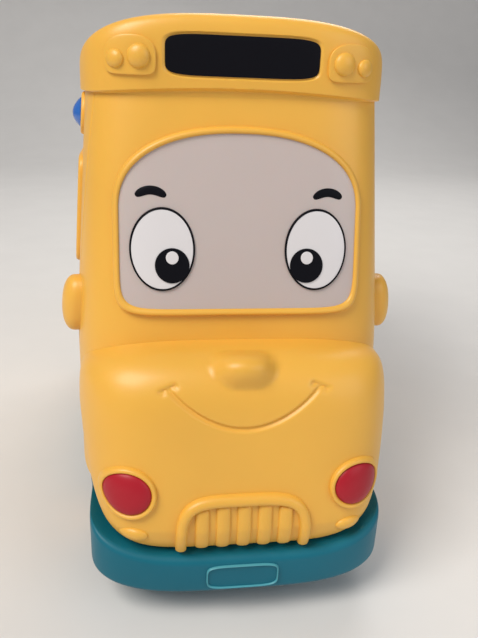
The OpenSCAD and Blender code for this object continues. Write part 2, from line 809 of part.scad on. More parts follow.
// Face pieces: oval eyes, round pupils, round lights and arched brows, stacked on the panel
eye_t = 0.5;
pupil_in = 3.4;
pupil_drop = 5.4;
light_r = 2.2;
light_drop = 2.6;
eye_back = panel_h + seat;
pupil_back = eye_back + eye_t + seat;
light_back = pupil_back + eye_t + seat;
module eye_whites() {
    color(cream)
        for (s = [-1, 1])
            skin_piece(front_skin, [s * eye_x, eye_z], outline(eye_half_w, eye_half_h, 2, eye_half_h, 2),
                eye_back, eye_back + eye_t, eye_back + eye_t);
}

module eye_pupils() {
    color(black)
        for (s = [-1, 1])
            skin_piece(front_skin, [s * (eye_x - pupil_in), eye_z - pupil_drop], circle_outline(pupil_r),
                pupil_back, pupil_back + eye_t, pupil_back + eye_t, steps = 2);
}

module eye_lights() {
    color(cream)
        for (s = [-1, 1])
            skin_piece(front_skin, [s * (eye_x - pupil_in), eye_z - light_drop], circle_outline(light_r),
                light_back, light_back + eye_t, light_back + eye_t, steps = 2);
}

brow_lift = 17.5;
brow_out = 3.8;
brow_arch = 2.2;
brow_t = 3;
brow_h = 1.4;
brow_steps = 8;
module eyebrows() {
    color(black)
        for (s = [-1, 1])
            skin_rib(front_skin,
                [for (k = [0 : brow_steps]) let (u = 2 * k / brow_steps - 1)
                    [s * (eye_x + brow_out) + brow_half_w * u, eye_z + brow_lift + brow_arch * (1 - u * u)]],
                brow_t, eye_back, eye_back + brow_h);
}

// Hood moulding, hollow towards the shell
hood_steps = 14;
hood_outline = [
    for (p = outline(hood_half_w, hood_rise, hood_up_share, hood_drop, hood_down_share,
            round_n + small_round_n))
        [p.x * hood_side(hood_z + p.y) / hood_half_w, p.y]];
module hood() {
    color(yellow)
        skin_piece(hood_skin, [0, hood_z], hood_outline, 0, 0, 0, steps = hood_steps,
            rear_skin = hood_inner_skin);
}

// Grille: arched frame and upright bars on the hood
grille_foot = 3.2;
grille_frame_w = 4;
grille_frame_h = 2.4;
grille_bar_h = 1.7;
grille_bar_share = 0.62;
grille_arch_share = 3.6;
grille_steps = 24;
grille_z = hood_z - hood_drop + grille_foot;
grille_mid_w = grille_half_w - grille_frame_w / 2;
grille_mid_h = grille_h - grille_frame_w / 2;
grille_pitch = 2 * grille_mid_w / (grille_bars + 1);
grille_bar_w = grille_pitch * grille_bar_share;
function grille_top(x) = grille_mid_h * squared(x / grille_mid_w, grille_arch_share);
module grille() {
    color(yellow) {
        skin_rib(hood_skin,
            [for (k = [0 : grille_steps])
                let (p = oval_point(180 * k / grille_steps, grille_arch_share))
                [-grille_mid_w * p.x, grille_z + grille_mid_h * max(0, p.y)]],
            grille_frame_w, hood_seat, grille_frame_h);
        for (k = [1 : grille_bars]) {
            x = k * grille_pitch - grille_mid_w;
            top = grille_z + grille_top(abs(x) + grille_bar_w / 2) - grille_frame_w / 2 - seat * 2;
            skin_rib(hood_skin,
                [for (j = [0 : brow_steps]) [x, grille_z + (top - grille_z) * j / brow_steps]],
                grille_bar_w, hood_seat, grille_bar_h);
        }
    }
}

// Head lamps: red domes in raised bezels
bezel_w = 1.6;
bezel_h = 1.9;
lens_rim = 1;
lens_h = 3;
function lamp_outline(out) =
    outline(lamp_half_w + out, lamp_half_h + out, 2, lamp_half_h + out, 2, small_round_n);
module lamp_bezels() {
    color(yellow)
        for (s = [-1, 1])
            skin_bead(hood_skin, [s * lamp_x, lamp_z], lamp_outline(seat + bezel_w),
                bezel_w, hood_seat, bezel_h);
}

module lamp(s) {
    color(crimson)
        skin_piece(hood_skin, [s * lamp_x, lamp_z], lamp_outline(0), seat, lens_rim, lens_h,
            steps = 5);
}

module lamp_left() {
    lamp(-1);
}

module lamp_right() {
    lamp(1);
}

// Small signal bumps under the lamps
signal_half_w = 5;
signal_half_h = 2.8;
signal_drop = 15.8;
signal_in = 2;
signal_h = 1.8;
module signal_bumps() {
    color(yellow)
        for (s = [-1, 1])
            skin_piece(hood_skin, [s * (lamp_x - signal_in), lamp_z - signal_drop],
                outline(signal_half_w, signal_half_h, 2, signal_half_h, 2, small_round_n),
                hood_seat, hood_seat + seat, signal_h, steps = 3);
}

// Mirror pods on the parting line of the shells
mirror_half_w = 7;
mirror_half_h = 10.8;
mirror_z = 102;
mirror_square_share = 2.6;
mirror_rim = 2.5;
mirror_h = 6.5;
module mirror_pod(skin, a) {
    color(yellow)
        skin_piece(skin, [a, mirror_z],
            outline(mirror_half_w, mirror_half_h, mirror_square_share, mirror_half_h, mirror_square_share),
            seat, mirror_rim, mirror_h, steps = 5);
}

module mirror_left() {
    mirror_pod(left_skin, seam_front);
}

module mirror_right() {
    mirror_pod(right_skin, -seam_front);
}

// Side windows, rear window and tail lamps
window_half_w = 19;
window_half_h = 20;
window_z = 134;
window_square_share = 7;
window_h = 1.1;
window_ys = [-24, 21, 66];
window_shape = outline(window_half_w, window_half_h, window_square_share, window_half_h, window_square_share);
module windows_left() {
    color(smoke)
        for (y = window_ys)
            skin_piece(left_skin, [-y, window_z], window_shape, seat, window_h, window_h, steps = 2);
}

module windows_right() {
    color(smoke)
        for (y = window_ys)
            skin_piece(right_skin, [y, window_z], window_shape, seat, window_h, window_h, steps = 2);
}

rear_window_half_w = 34;
module rear_window() {
    color(smoke)
        skin_piece(back_skin, [0, window_z],
            outline(rear_window_half_w, window_half_h, window_square_share, window_half_h, window_square_share),
            seat, window_h, window_h);
}

tail_x = 40;
tail_z = 66;
tail_r = 6.5;
tail_h = 2.4;
module tail_lamps() {
    color(crimson)
        for (s = [-1, 1])
            skin_piece(back_skin, [s * tail_x, tail_z], circle_outline(tail_r),
                seat, lens_rim, tail_h, steps = 3);
}

// Blue domed push button on the left side
button_tip = button_x + button_proud;
dome_steps = 6;
dome_least_share = 0.2;
function dome_profile() =
    [for (i = [0:dome_steps])
        let (share = 1 - (1 - dome_least_share) * i / dome_steps)
        [button_r * share, button_tip - button_dome_h * share * share]];
module side_button() {
    flange_r = button_r + flange_out;
    flange_back = flange_face - button_flange_t;
    flange = [[0, flange_back], [flange_r, flange_back], [flange_r, flange_face], [button_r, flange_face]];
    top = button_tip - button_dome_h * dome_least_share * dome_least_share;
    color(sky)
        translate([0, button_y, button_z])
            rotate([0, -90, 0])
                rotate_extrude($fn = 64)
                    polygon(concat(flange, dome_profile(), [[0, top]]));
}

// Small board behind the side button, with its press switch
module button_board() {
    color(board_green) {
        block([-board_x, button_y - button_board_half, button_z - button_board_half_h],
            [button_board_t - board_x, button_y + button_board_half, button_z + button_board_half_h]);
        block([-board_x - tact_h, button_y - tact_half, button_z - tact_half],
            [-board_x, button_y + tact_half, button_z + tact_half]);
    }
}

// Axles, hubs and tyres
module axle_rod(y) {
    color(steel)
        axle_cylinder(axle_r, -axle_end, axle_end, y);
}

module front_axle_rod() {
    axle_rod(-front_axle);
}

module rear_axle_rod() {
    axle_rod(rear_axle);
}

module at_wheel(side, y) {
    translate([side * track_half, y, tyre_r])
        rotate([0, side * 90, 0])
            children();
}

hub_dish = 2.5;
hub_cap_share = 0.4;
hub_cap_r = hub_r * hub_cap_share;
hub_half = tyre_w / 2;
module hub(side, y) {
    color(yellow)
        at_wheel(side, y)
            difference() {
                rotate_extrude($fn = 96)
                    polygon([
                        [0, -hub_half], [hub_r, -hub_half], [hub_r, hub_half],
                        [hub_r - hub_dish, hub_half], [hub_r - 2 * hub_dish, hub_half - hub_dish],
                        [hub_cap_r, hub_half - hub_dish], [hub_cap_r - hub_dish / 2, hub_half],
                        [0, hub_half]]);
                translate([0, 0, -hub_half - over])
                    cylinder(r = axle_r, h = tyre_w + over - axle_r, $fn = 64);
            }
}

tyre_round = 3;
module tyre(side, y) {
    color(rubber)
        at_wheel(side, y)
            rotate_extrude($fn = 96)
                difference() {
                    translate([hub_r, -hub_half])
                        square([tyre_r - hub_r, tyre_w]);
                    for (t = [0, 1])
                        mirror([0, t])
                            translate([tyre_r - tyre_round, hub_half - tyre_round])
                                difference() {
                                    square(tyre_round + over);
                                    circle(r = tyre_round, $fn = 48);
                                }
                }
}

module hub_front_left() {
    hub(-1, -front_axle);
}

module hub_front_right() {
    hub(1, -front_axle);
}

module hub_rear_left() {
    hub(-1, rear_axle);
}

module hub_rear_right() {
    hub(1, rear_axle);
}

module tyre_front_left() {
    tyre(-1, -front_axle);
}

module tyre_front_right() {
    tyre(1, -front_axle);
}

module tyre_rear_left() {
    tyre(-1, rear_axle);
}

module tyre_rear_right() {
    tyre(1, rear_axle);
}

chassis();
front_bumper();
number_plate();
rear_bumper();
battery_door();
door_screw();
battery_cells();
battery_contacts();
chassis_screws();
circuit_board();
speaker();
switch_housing();
power_switch();
front_shell();
rear_shell();
roof_cap();
sign_insert();
roof_lamps();
windscreen_panel();
windscreen_frame();
eye_whites();
eye_pupils();
eye_lights();
eyebrows();
hood();
grille();
lamp_bezels();
lamp_left();
lamp_right();
signal_bumps();
mirror_left();
mirror_right();
windows_left();
windows_right();
rear_window();
tail_lamps();
side_button();
button_board();
front_axle_rod();
rear_axle_rod();
hub_front_left();
hub_front_right();
hub_rear_left();
hub_rear_right();
tyre_front_left();
tyre_front_right();
tyre_rear_left();
tyre_rear_right();
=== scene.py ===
"""Toy bus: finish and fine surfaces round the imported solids. The front faces -Y, and +Z is up."""
import json
import math

import bmesh
import bpy
import numpy as np
from mathutils import Matrix, Vector


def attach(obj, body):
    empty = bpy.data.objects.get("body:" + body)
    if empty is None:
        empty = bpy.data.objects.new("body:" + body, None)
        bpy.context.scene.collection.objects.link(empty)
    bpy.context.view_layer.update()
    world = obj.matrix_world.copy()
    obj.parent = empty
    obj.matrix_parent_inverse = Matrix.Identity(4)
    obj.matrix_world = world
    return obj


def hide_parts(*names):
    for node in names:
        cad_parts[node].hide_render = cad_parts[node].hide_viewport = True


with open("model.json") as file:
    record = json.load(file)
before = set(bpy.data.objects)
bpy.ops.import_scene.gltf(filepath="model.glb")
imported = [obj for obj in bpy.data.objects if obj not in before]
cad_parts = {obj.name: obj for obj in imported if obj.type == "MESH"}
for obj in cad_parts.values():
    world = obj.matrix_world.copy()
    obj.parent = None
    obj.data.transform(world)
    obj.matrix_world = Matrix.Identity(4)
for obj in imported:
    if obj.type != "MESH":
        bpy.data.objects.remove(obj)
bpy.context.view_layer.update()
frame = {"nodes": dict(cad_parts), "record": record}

# Sizes are in millimetres where no comment says otherwise; MM turns them into metres
MM = 0.001

# Sizes shared with the solids
CHASSIS_TOP, WAIST_Z, BODY_TOP = 39.0, 95.0, 179.0
BASE_HALF_W, WAIST_HALF_W, TOP_HALF_W = 60.5, 61.0, 55.5
BASE_FRONT, WAIST_FRONT, TOP_FRONT = 96.0, 85.0, 68.0
BASE_BACK, TOP_BACK = 114.0, 108.0
WALL = 2.5
PLAN_POWER = 6.0
SEAM_FRONT = 58.0
ROOF_RISE, LIP_OUT, ROOF_EDGE = 26.0, 1.8, 12.0
ROOF_ARCH_POWER, ROOF_PILLOW_POWER = 3.0, 7.0
HOOD_HALF_W, HOOD_Z, HOOD_RISE, HOOD_DROP, HOOD_BULGE = 58.5, 70.0, 27.0, 42.0, 19.0
# Powers of the hood's outline, and of its bulge at the top and the foot
HOOD_UP_POWER, HOOD_DOWN_POWER, HOOD_TOP_POWER, HOOD_FOOT_POWER = 3.8, 5.0, 3.0, 7.0
HOOD_RIM, HOOD_TAPER_SHARE = 2.5, 0.15
NOSE_HALF_W, NOSE_H, NOSE_SHARE, NOSE_TALL, NOSE_TILT = 11.0, 8.0, 0.89, 0.78, math.radians(35)
SCREEN_HALF_W, SCREEN_Z, SCREEN_RISE, SCREEN_DROP = 44.5, 142.0, 28.0, 36.0
BEAD_W, BEAD_H = 2.4, 2.4
EYE_X, EYE_Z, EYE_HALF_W, EYE_HALF_H = 27.3, 129.0, 11.4, 14.2
LAMP_X, LAMP_Z, LAMP_HALF_W, LAMP_HALF_H = 40.3, 53.0, 8.4, 7.4
BUMPER_REACH, BUMPER_HALF_W, BUMPER_TOP, BUMPER_LIFT = 120.0, 54.5, 27.4, 9.0
GROUND_GAP, FRONT_END, REAR_END, BUMPER_FOOT = 12.0, 24.0, 14.0, 5.0
BUMPER_BOW_POWER, BUMPER_CURVE_POWER = 3.5, 4
PLATE_PROUD = 0.9
# Shares across an outline are kept just under 1, where the curve turns upright
EDGE = 0.9999
# Gap that the solids leave between a piece and what carries it
SEAT = 0.3
# How far a moulded detail is sunk into what carries it, so that no gap shows
SUNK = 0.25
# Height over which the flare of the shells turns at the waist
WAIST_SOFT = 9.0
WAIST_STEPS = 9


def squared(v, n):
    """Height of a rounded box of power n at the share v of its half width."""
    return (1 - np.minimum(np.abs(v), EDGE) ** n) ** (1 / n)


def ramp(z, stops, values):
    return np.interp(z, stops, values)


def soft_ramp(z, stops, values):
    """Ramp whose inner corner is spread over WAIST_SOFT."""
    z = np.asarray(z, float)
    offsets = np.linspace(-WAIST_SOFT, WAIST_SOFT, WAIST_STEPS)
    inside = np.clip(np.minimum(z - stops[0], stops[-1] - z) / WAIST_SOFT, 0, 1)
    return sum(ramp(z + d * inside, stops, values) for d in offsets) / len(offsets)


LEVELS = (CHASSIS_TOP, WAIST_Z, BODY_TOP)


def body_half_w(z):
    return soft_ramp(z, LEVELS, (BASE_HALF_W, WAIST_HALF_W, TOP_HALF_W))


def body_front(z):
    return soft_ramp(z, LEVELS, (-BASE_FRONT, -WAIST_FRONT, -TOP_FRONT))


def body_back(z):
    return ramp(z, (CHASSIS_TOP, BODY_TOP), (BASE_BACK, TOP_BACK))


def body_mid(z):
    return (body_front(z) + body_back(z)) / 2


def body_half_l(z):
    return (body_back(z) - body_front(z)) / 2


def front_y(x, z):
    return body_mid(z) - body_half_l(z) * squared(x / body_half_w(z), PLAN_POWER)


def back_y(x, z):
    return body_mid(z) + body_half_l(z) * squared(x / body_half_w(z), PLAN_POWER)


def side_x(y, z):
    return body_half_w(z) * squared((y - body_mid(z)) / body_half_l(z), PLAN_POWER)


ROOF_HALF_W = TOP_HALF_W + LIP_OUT
ROOF_MID = float(body_mid(BODY_TOP))
ROOF_HALF_L = float(body_half_l(BODY_TOP)) + LIP_OUT


def roof_depth(x, z):
    n = ROOF_ARCH_POWER
    across, high = np.abs(x / ROOF_HALF_W), np.maximum(0, z - BODY_TOP) / ROOF_RISE
    reach = np.minimum(EDGE, (across ** n + high ** n) ** (1 / n))
    flat = ROOF_HALF_L * squared(x / ROOF_HALF_W, PLAN_POWER)
    return flat - ROOF_EDGE * (1 - squared(reach, ROOF_PILLOW_POWER))


def hood_side(z):
    return HOOD_HALF_W * (1 - HOOD_TAPER_SHARE * np.maximum(0, HOOD_Z - z) / HOOD_DROP)


def hood_y(x, z):
    tall = np.where(z > HOOD_Z, HOOD_RISE, HOOD_DROP)
    n = np.where(z > HOOD_Z, HOOD_UP_POWER, HOOD_DOWN_POWER)
    across, high = np.abs(x) / hood_side(z), np.abs(z - HOOD_Z) / tall
    reach = np.minimum(EDGE, (across ** n + high ** n) ** (1 / n))
    power = ramp(z, (HOOD_Z - HOOD_DROP, HOOD_Z + HOOD_RISE), (HOOD_FOOT_POWER, HOOD_TOP_POWER))
    base = front_y(x, np.maximum(z, CHASSIS_TOP)) - SEAT
    return base - HOOD_RIM - HOOD_BULGE * squared(reach, power)


NOSE_Z = HOOD_Z + NOSE_SHARE * HOOD_RISE


def nose_bump(x, z):
    tall = np.hypot(hood_y(x, z) - hood_y(np.float64(0), np.float64(NOSE_Z)), z - NOSE_Z)
    reach = np.hypot(x, tall / NOSE_TALL) / NOSE_HALF_W
    return NOSE_H * np.maximum(0, 1 - reach ** 2)


def bumper_out(x, reach, end):
    return reach - end * (1 - squared(x / BUMPER_HALF_W, BUMPER_BOW_POWER))


def stack(x, y, z):
    return np.stack(np.broadcast_arrays(x, y, z), -1).astype(float)


# Skins: place across, height and offset outwards, as a viewer facing them sees it
def front_skin(a, z, off):
    return stack(a, front_y(a, z) - off, z)


def roof_skin(a, z, off):
    return stack(a, ROOF_MID - roof_depth(a, z) - off, z)


def hood_skin(a, z, off):
    bump = nose_bump(a, z)
    return stack(a, hood_y(a, z) - off - bump * math.cos(NOSE_TILT), z + bump * math.sin(NOSE_TILT))


def back_skin(a, z, off):
    return stack(-a, back_y(a, z) + off, z)


def left_skin(a, z, off):
    return stack(-side_x(-a, z) - off, -a, z)


def right_skin(a, z, off):
    return stack(side_x(a, z) + off, a, z)


def bumper_skin(a, z, off):
    return stack(a, -bumper_out(a, BUMPER_REACH - PLATE_PROUD, FRONT_END) - off, z)


def signed(v, e):
    """Power that keeps the sign."""
    return np.sign(v) * np.abs(v) ** e


def outline(w, up, up_n, down=None, down_n=None, count=96):
    """Closed rounded box; its lower half may have a height and a power of its own."""
    t = 2 * np.pi * (np.arange(count) + 0.5) / count
    n = np.where(t < np.pi, up_n, down_n or up_n)
    tall = np.where(t < np.pi, up, down or up)
    return np.stack([w * signed(np.cos(t), 2 / n), tall * signed(np.sin(t), 2 / n)], -1)


def ellipse(w, h):
    return outline(w, h, 2)


def circle(r):
    return ellipse(r, r)


# Mesh helpers

# Points of a mesh closer than this, in metres, are one point
WELD = 1e-7


def make_object(name, points, faces, material, slot, body="body", replaces=(), sharp=40):
    mesh = bpy.data.meshes.new(name)
    mesh.from_pydata((np.asarray(points) * MM).tolist(), [], faces)
    bm = bmesh.new()
    bm.from_mesh(mesh)
    bmesh.ops.remove_doubles(bm, verts=bm.verts, dist=WELD)
    bmesh.ops.recalc_face_normals(bm, faces=bm.faces)
    bm.to_mesh(mesh)
    bm.free()
    mesh.polygons.foreach_set("use_smooth", [True] * len(mesh.polygons))
    mesh.set_sharp_from_angle(angle=math.radians(sharp))
    mesh.materials.append(material)
    piece = bpy.data.objects.new(name, mesh)
    bpy.context.scene.collection.objects.link(piece)
    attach(piece, body)
    if replaces:
        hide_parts(*replaces)
    return piece


def grid_faces(rows, cols, wrap, first=0):
    last = cols if wrap else cols - 1
    return [(first + r * cols + c, first + r * cols + (c + 1) % cols,
             first + (r + 1) * cols + (c + 1) % cols, first + (r + 1) * cols + c)
            for r in range(rows - 1) for c in range(last)]


# Share of a quarter turn at which the rings of a plate stop, short of its middle
LAST_RING_SHARE = 0.98
# Section of a bead or rib: height of its upright foot and roundness of its crown
BEAD_FOOT_SHARE, BEAD_ROUND = 0.25, 0.8
# Least height and width at the end of a tapered rib
RIB_END_SHARE = 0.05


def bead_section(steps):
    """Places across a bead, from -1 to 1, and its heights there, as shares."""
    t = np.linspace(0, np.pi, steps)
    across = np.concatenate([[-1], -np.cos(t), [1]])
    rise = BEAD_FOOT_SHARE + (1 - BEAD_FOOT_SHARE) * np.sin(t) ** BEAD_ROUND
    return across, np.concatenate([[0], rise, [0]])


def wrap_faces(rows, cols):
    """Faces of a closed ring of closed sections."""
    last = (rows - 1) * cols
    joints = [(last + c, last + (c + 1) % cols, (c + 1) % cols, c) for c in range(cols)]
    return grid_faces(rows, cols, True) + joints


def capped_faces(rows, cols):
    """Faces of a run of closed sections with a cap at each end."""
    caps = [tuple(range(cols)), tuple(range((rows - 1) * cols, rows * cols))]
    return grid_faces(rows, cols, True) + caps


class Builder:
    """Collects points and faces of one piece."""

    def __init__(self):
        self.points = []
        self.faces = []
        self.count = 0

    def add(self, points, faces):
        self.points.append(np.asarray(points, float).reshape(-1, 3))
        self.faces += [tuple(i + self.count for i in f) for f in faces]
        self.count += len(self.points[-1])

    def patch(self, skin, at, shape, back, height, rings=12):
        """Closed plate on a skin; height gives its offset for shares 1 (rim) to 0 (middle)."""
        m = len(shape)
        shares = np.cos(np.linspace(0, LAST_RING_SHARE * np.pi / 2, rings))
        a = at[0] + shares[:, None] * shape[None, :, 0]
        z = at[1] + shares[:, None] * shape[None, :, 1]
        top = skin(a, z, height(shares)[:, None] + 0 * a)
        low = skin(a, z, back + 0 * a)
        size = rings * m
        faces = grid_faces(rings, m, True) + grid_faces(rings, m, True, size)
        faces += [(i, (i + 1) % m, size + (i + 1) % m, size + i) for i in range(m)]
        faces += [tuple(range(size - m, size)), tuple(range(2 * size - m, 2 * size))]
        self.add(np.concatenate([top.reshape(-1, 3), low.reshape(-1, 3)]), faces)

    def bead(self, skin, at, shape, width, back, crown, steps=14):
        """Rounded bead inside a closed outline."""
        reach = np.array([shape[:, 0].max(), shape[:, 1].max(), -shape[:, 1].min()])
        across, rise = bead_section(steps)
        across = (1 + across) / 2
        tall = np.where(shape[:, 1] > 0, reach[1], reach[2])
        a = at[0] + shape[:, 0, None] * (1 - across * width / reach[0])
        z = at[1] + shape[:, 1, None] * (1 - across * width / tall[:, None])
        points = skin(a, z, back + rise * (crown - back) + 0 * a)
        self.add(points, wrap_faces(*a.shape))

    def rib(self, skin, path, width, back, crown, steps=12, taper=0.0):
        """Rounded rib along an open path, tapering to its ends where asked."""
        path = np.asarray(path, float)
        d = np.gradient(path, axis=0)
        n = np.stack([-d[:, 1], d[:, 0]], -1) / np.linalg.norm(d, axis=1)[:, None]
        u = np.linspace(-1, 1, len(path))
        keep = np.ones(len(path))
        if taper:
            keep = np.maximum(RIB_END_SHARE, np.sqrt(np.maximum(0, 1 - np.abs(u) ** (2 / taper))))
        across, rise = bead_section(steps)
        a = path[:, 0, None] + n[:, 0, None] * across * width / 2 * keep[:, None]
        z = path[:, 1, None] + n[:, 1, None] * across * width / 2 * keep[:, None]
        points = skin(a, z, back + rise * (crown - back) * keep[:, None])
        self.add(points, capped_faces(*a.shape))

    def finish(self, name, material, slot, **options):
        return make_object(name, np.concatenate(self.points), self.faces, material, slot, **options)


def dome(rim, crown, n=2.0):
    """Height over a patch: rim at the share 1, crown at 0; a higher power is flatter."""
    return lambda s: rim + (crown - rim) * (1 - np.minimum(s, 1) ** n) ** (1 / n)


# Power of the dome that makes a flat plate with rounded edges
PLATE_ROUND = 16.0


def rounded_plate(rim, crown):
    return dome(rim, crown, PLATE_ROUND)


# Materials

# Moulded plastic: scales and details of its noises, spread of its gloss, and depths in metres
DRIFT_SCALE, HAZE_SCALE = 22.0, 60.0
DRIFT_DETAIL, HAZE_DETAIL, GRAIN_DETAIL = 4.0, 6.0, 3.0
DRIFT_SHARES = (0.3, 0.7)
GLOSS_SPREAD, COAT_ROUGHNESS = 0.06, 0.2
GRAIN_DEEP, SUBSURFACE_REACH = 0.0004, 0.004


def noise(material, place, scale, detail):
    node = material.node_tree.nodes.new("ShaderNodeTexNoise")
    node.inputs["Scale"].default_value = scale
    node.inputs["Detail"].default_value = detail
    material.node_tree.links.new(place.outputs["Object"], node.inputs["Vector"])
    return node.outputs["Fac"]


def plastic(name, colour, roughness, coat=0.0, bump=0.05, grain=900.0, mottle=0.05, subsurface=0.0,
            gleam=0.5):
    """Moulded plastic: faint colour drift, fine grain and uneven gloss."""
    material = bpy.data.materials.new(name)
    material.use_nodes = True
    nodes, links = material.node_tree.nodes, material.node_tree.links
    shader = nodes["Principled BSDF"]
    place = nodes.new("ShaderNodeTexCoord")
    drift = nodes.new("ShaderNodeValToRGB")
    for stop, share, turn in zip(drift.color_ramp.elements, DRIFT_SHARES, (-mottle, mottle)):
        stop.color = (*[min(1, c * (1 + turn)) for c in colour], 1)
        stop.position = share
    links.new(noise(material, place, DRIFT_SCALE, DRIFT_DETAIL), drift.inputs["Fac"])
    links.new(drift.outputs["Color"], shader.inputs["Base Color"])
    gloss = nodes.new("ShaderNodeMapRange")
    gloss.inputs["To Min"].default_value = roughness - GLOSS_SPREAD
    gloss.inputs["To Max"].default_value = roughness + GLOSS_SPREAD
    links.new(noise(material, place, HAZE_SCALE, HAZE_DETAIL), gloss.inputs["Value"])
    links.new(gloss.outputs["Result"], shader.inputs["Roughness"])
    bumps = nodes.new("ShaderNodeBump")
    bumps.inputs["Strength"].default_value = bump
    bumps.inputs["Distance"].default_value = GRAIN_DEEP
    links.new(noise(material, place, grain, GRAIN_DETAIL), bumps.inputs["Height"])
    links.new(bumps.outputs["Normal"], shader.inputs["Normal"])
    shader.inputs["Specular IOR Level"].default_value = gleam
    shader.inputs["Coat Weight"].default_value = coat
    shader.inputs["Coat Roughness"].default_value = COAT_ROUGHNESS
    shader.inputs["Subsurface Weight"].default_value = subsurface
    shader.inputs["Subsurface Scale"].default_value = SUBSURFACE_REACH
    return material


def metal(name, colour, roughness):
    material = plastic(name, colour, roughness, bump=0.08, grain=1500.0)
    material.node_tree.nodes["Principled BSDF"].inputs["Metallic"].default_value = 1.0
    return material


YELLOW = plastic("yellow_plastic", (0.82, 0.44, 0.06), 0.42, coat=0.1, mottle=0.04, subsurface=0.06)
TEAL = plastic("teal_plastic", (0.003, 0.135, 0.2), 0.45, mottle=0.06, gleam=0.3)
# Lighter teal for the thin raised edge round the number plate: a painted highlight on that rim
TEAL_PAINTED_HIGHLIGHT = plastic("teal_painted_highlight", (0.07, 0.33, 0.4), 0.4, mottle=0.04)
BLACK = plastic("black_plastic", (0.004, 0.004, 0.007), 0.5, gleam=0.1)
WHITE = plastic("white_plastic", (0.72, 0.7, 0.72), 0.32, coat=0.2, mottle=0.015)
SCREEN = plastic("screen_plastic", (0.54, 0.46, 0.44), 0.38, coat=0.25, mottle=0.02, subsurface=0.1)
RED = plastic("red_plastic", (0.4, 0.009, 0.022), 0.42, coat=0.05, mottle=0.05, gleam=0.3)
PANE = plastic("window_plastic", (0.1, 0.12, 0.14), 0.14, coat=0.5, bump=0.01, mottle=0.08)
BLUE = plastic("blue_plastic", (0.02, 0.13, 0.5), 0.12, coat=0.6, bump=0.01)
TYRE = plastic("tyre_rubber", (0.016, 0.016, 0.018), 0.7, bump=0.2, mottle=0.2)
BOARD = plastic("board_resist", (0.01, 0.09, 0.035), 0.35, coat=0.3)
WRAP = plastic("cell_wrap", (0.1, 0.12, 0.14), 0.3, coat=0.3)
STEEL = metal("drawn_steel", (0.62, 0.63, 0.66), 0.32)
BY_SLOT = {
    "yellow_plastic": YELLOW, "teal_plastic": TEAL, "hub_plastic": YELLOW, "tyre_rubber": TYRE,
    "steel": STEEL, "black_plastic": BLACK, "white_plastic": WHITE, "screen_plastic": SCREEN,
    "red_plastic": RED, "window_plastic": PANE, "blue_plastic": BLUE, "board": BOARD, "cell_wrap": WRAP,
}


def dress_cad_nodes():
    slots = {s["node"]: s["material_slot"] for s in frame["record"]["subparts"]}
    for name, obj in frame["nodes"].items():
        obj.data.materials.clear()
        obj.data.materials.append(BY_SLOT[slots[name]])


# Shells

SEAM_DEEP, SEAM_HALF = 0.45, 0.6
# Softening of the lower rim, and height of the first level above it
RIM_SOFT, RIM_CLEAR = 0.5, 2.0
SHELL_LEVELS, SHELL_STEPS = 60, 140


def wall_angle(z, half_l):
    return np.arcsin(((body_mid(z) + SEAM_FRONT) / half_l) ** (PLAN_POWER / 2))


def shell(name, node, front):
    """Half of the body wall, with softened edges along the parting line and the lower rim."""
    low = [CHASSIS_TOP, CHASSIS_TOP + RIM_SOFT]
    zs = np.concatenate([low, np.linspace(CHASSIS_TOP + RIM_CLEAR, BODY_TOP, SHELL_LEVELS)])
    u = (1 - np.cos(np.linspace(0, np.pi, SHELL_STEPS))) / 2
    rings = []
    for z in zs:
        soft = RIM_SOFT if z == CHASSIS_TOP else 0.0
        arcs = []
        for inset in (soft, WALL):
            half_l = body_half_l(z) - inset
            turn = wall_angle(z, half_l)
            start, end = (np.pi + turn, 2 * np.pi - turn) if front else (-turn, np.pi + turn)
            t = start + (end - start) * u
            y = body_mid(z) + half_l * signed(np.sin(t), 2 / PLAN_POWER)
            seam = SEAM_DEEP * np.clip(1 - np.abs(y + SEAM_FRONT) / SEAM_HALF, 0, 1) if inset < WALL else 0
            x = (body_half_w(z) - inset - seam) * signed(np.cos(t), 2 / PLAN_POWER)
            arcs.append(stack(x, y, z))
        rings.append(np.concatenate([arcs[0], arcs[1][::-1]]))
    rings = np.array(rings)
    rows, cols = rings.shape[:2]
    faces = grid_faces(rows, cols, True)
    for base in (0, (rows - 1) * cols):
        faces += [(base + i, base + i + 1, base + cols - 2 - i, base + cols - 1 - i)
                  for i in range(cols // 2 - 1)]
    make_object(name, rings.reshape(-1, 3), faces, YELLOW, "yellow_plastic", replaces=(node,))


# Roof

SIGN_Z = BODY_TOP + ROOF_RISE / 2
SIGN_SHAPE = (26.0, 6.4)
SIGN_POWER = 6.0
SIGN_DEEP = 0.7
# Margin of the let-in panel round the sign, and the share over which its edge slopes
SIGN_MARGIN, SIGN_SLOPE_SHARE = 0.8, 0.04
SIGN_BACK, SIGN_RIM, SIGN_FACE = -2.0, -0.6, -0.25
SIGN_STEPS, SIGN_RINGS = 160, 24


def sign_reach(x, z):
    half_w, half_h = (size + SIGN_MARGIN for size in SIGN_SHAPE)
    reach = (np.abs(x) / half_w) ** SIGN_POWER + (np.abs(z - SIGN_Z) / half_h) ** SIGN_POWER
    return reach ** (1 / SIGN_POWER)


LIP_ARCH, LIP_HALF_W, LIP_SOFT = 3.0, 54.0, 1.0
# The crown stays just under the solids' own top
ROOF_CROWN = 25.95
ROOF_STEPS, ROOF_RINGS, ROOF_FIRST_TURN, ROOF_SHARP = 260, 150, 0.012, 50
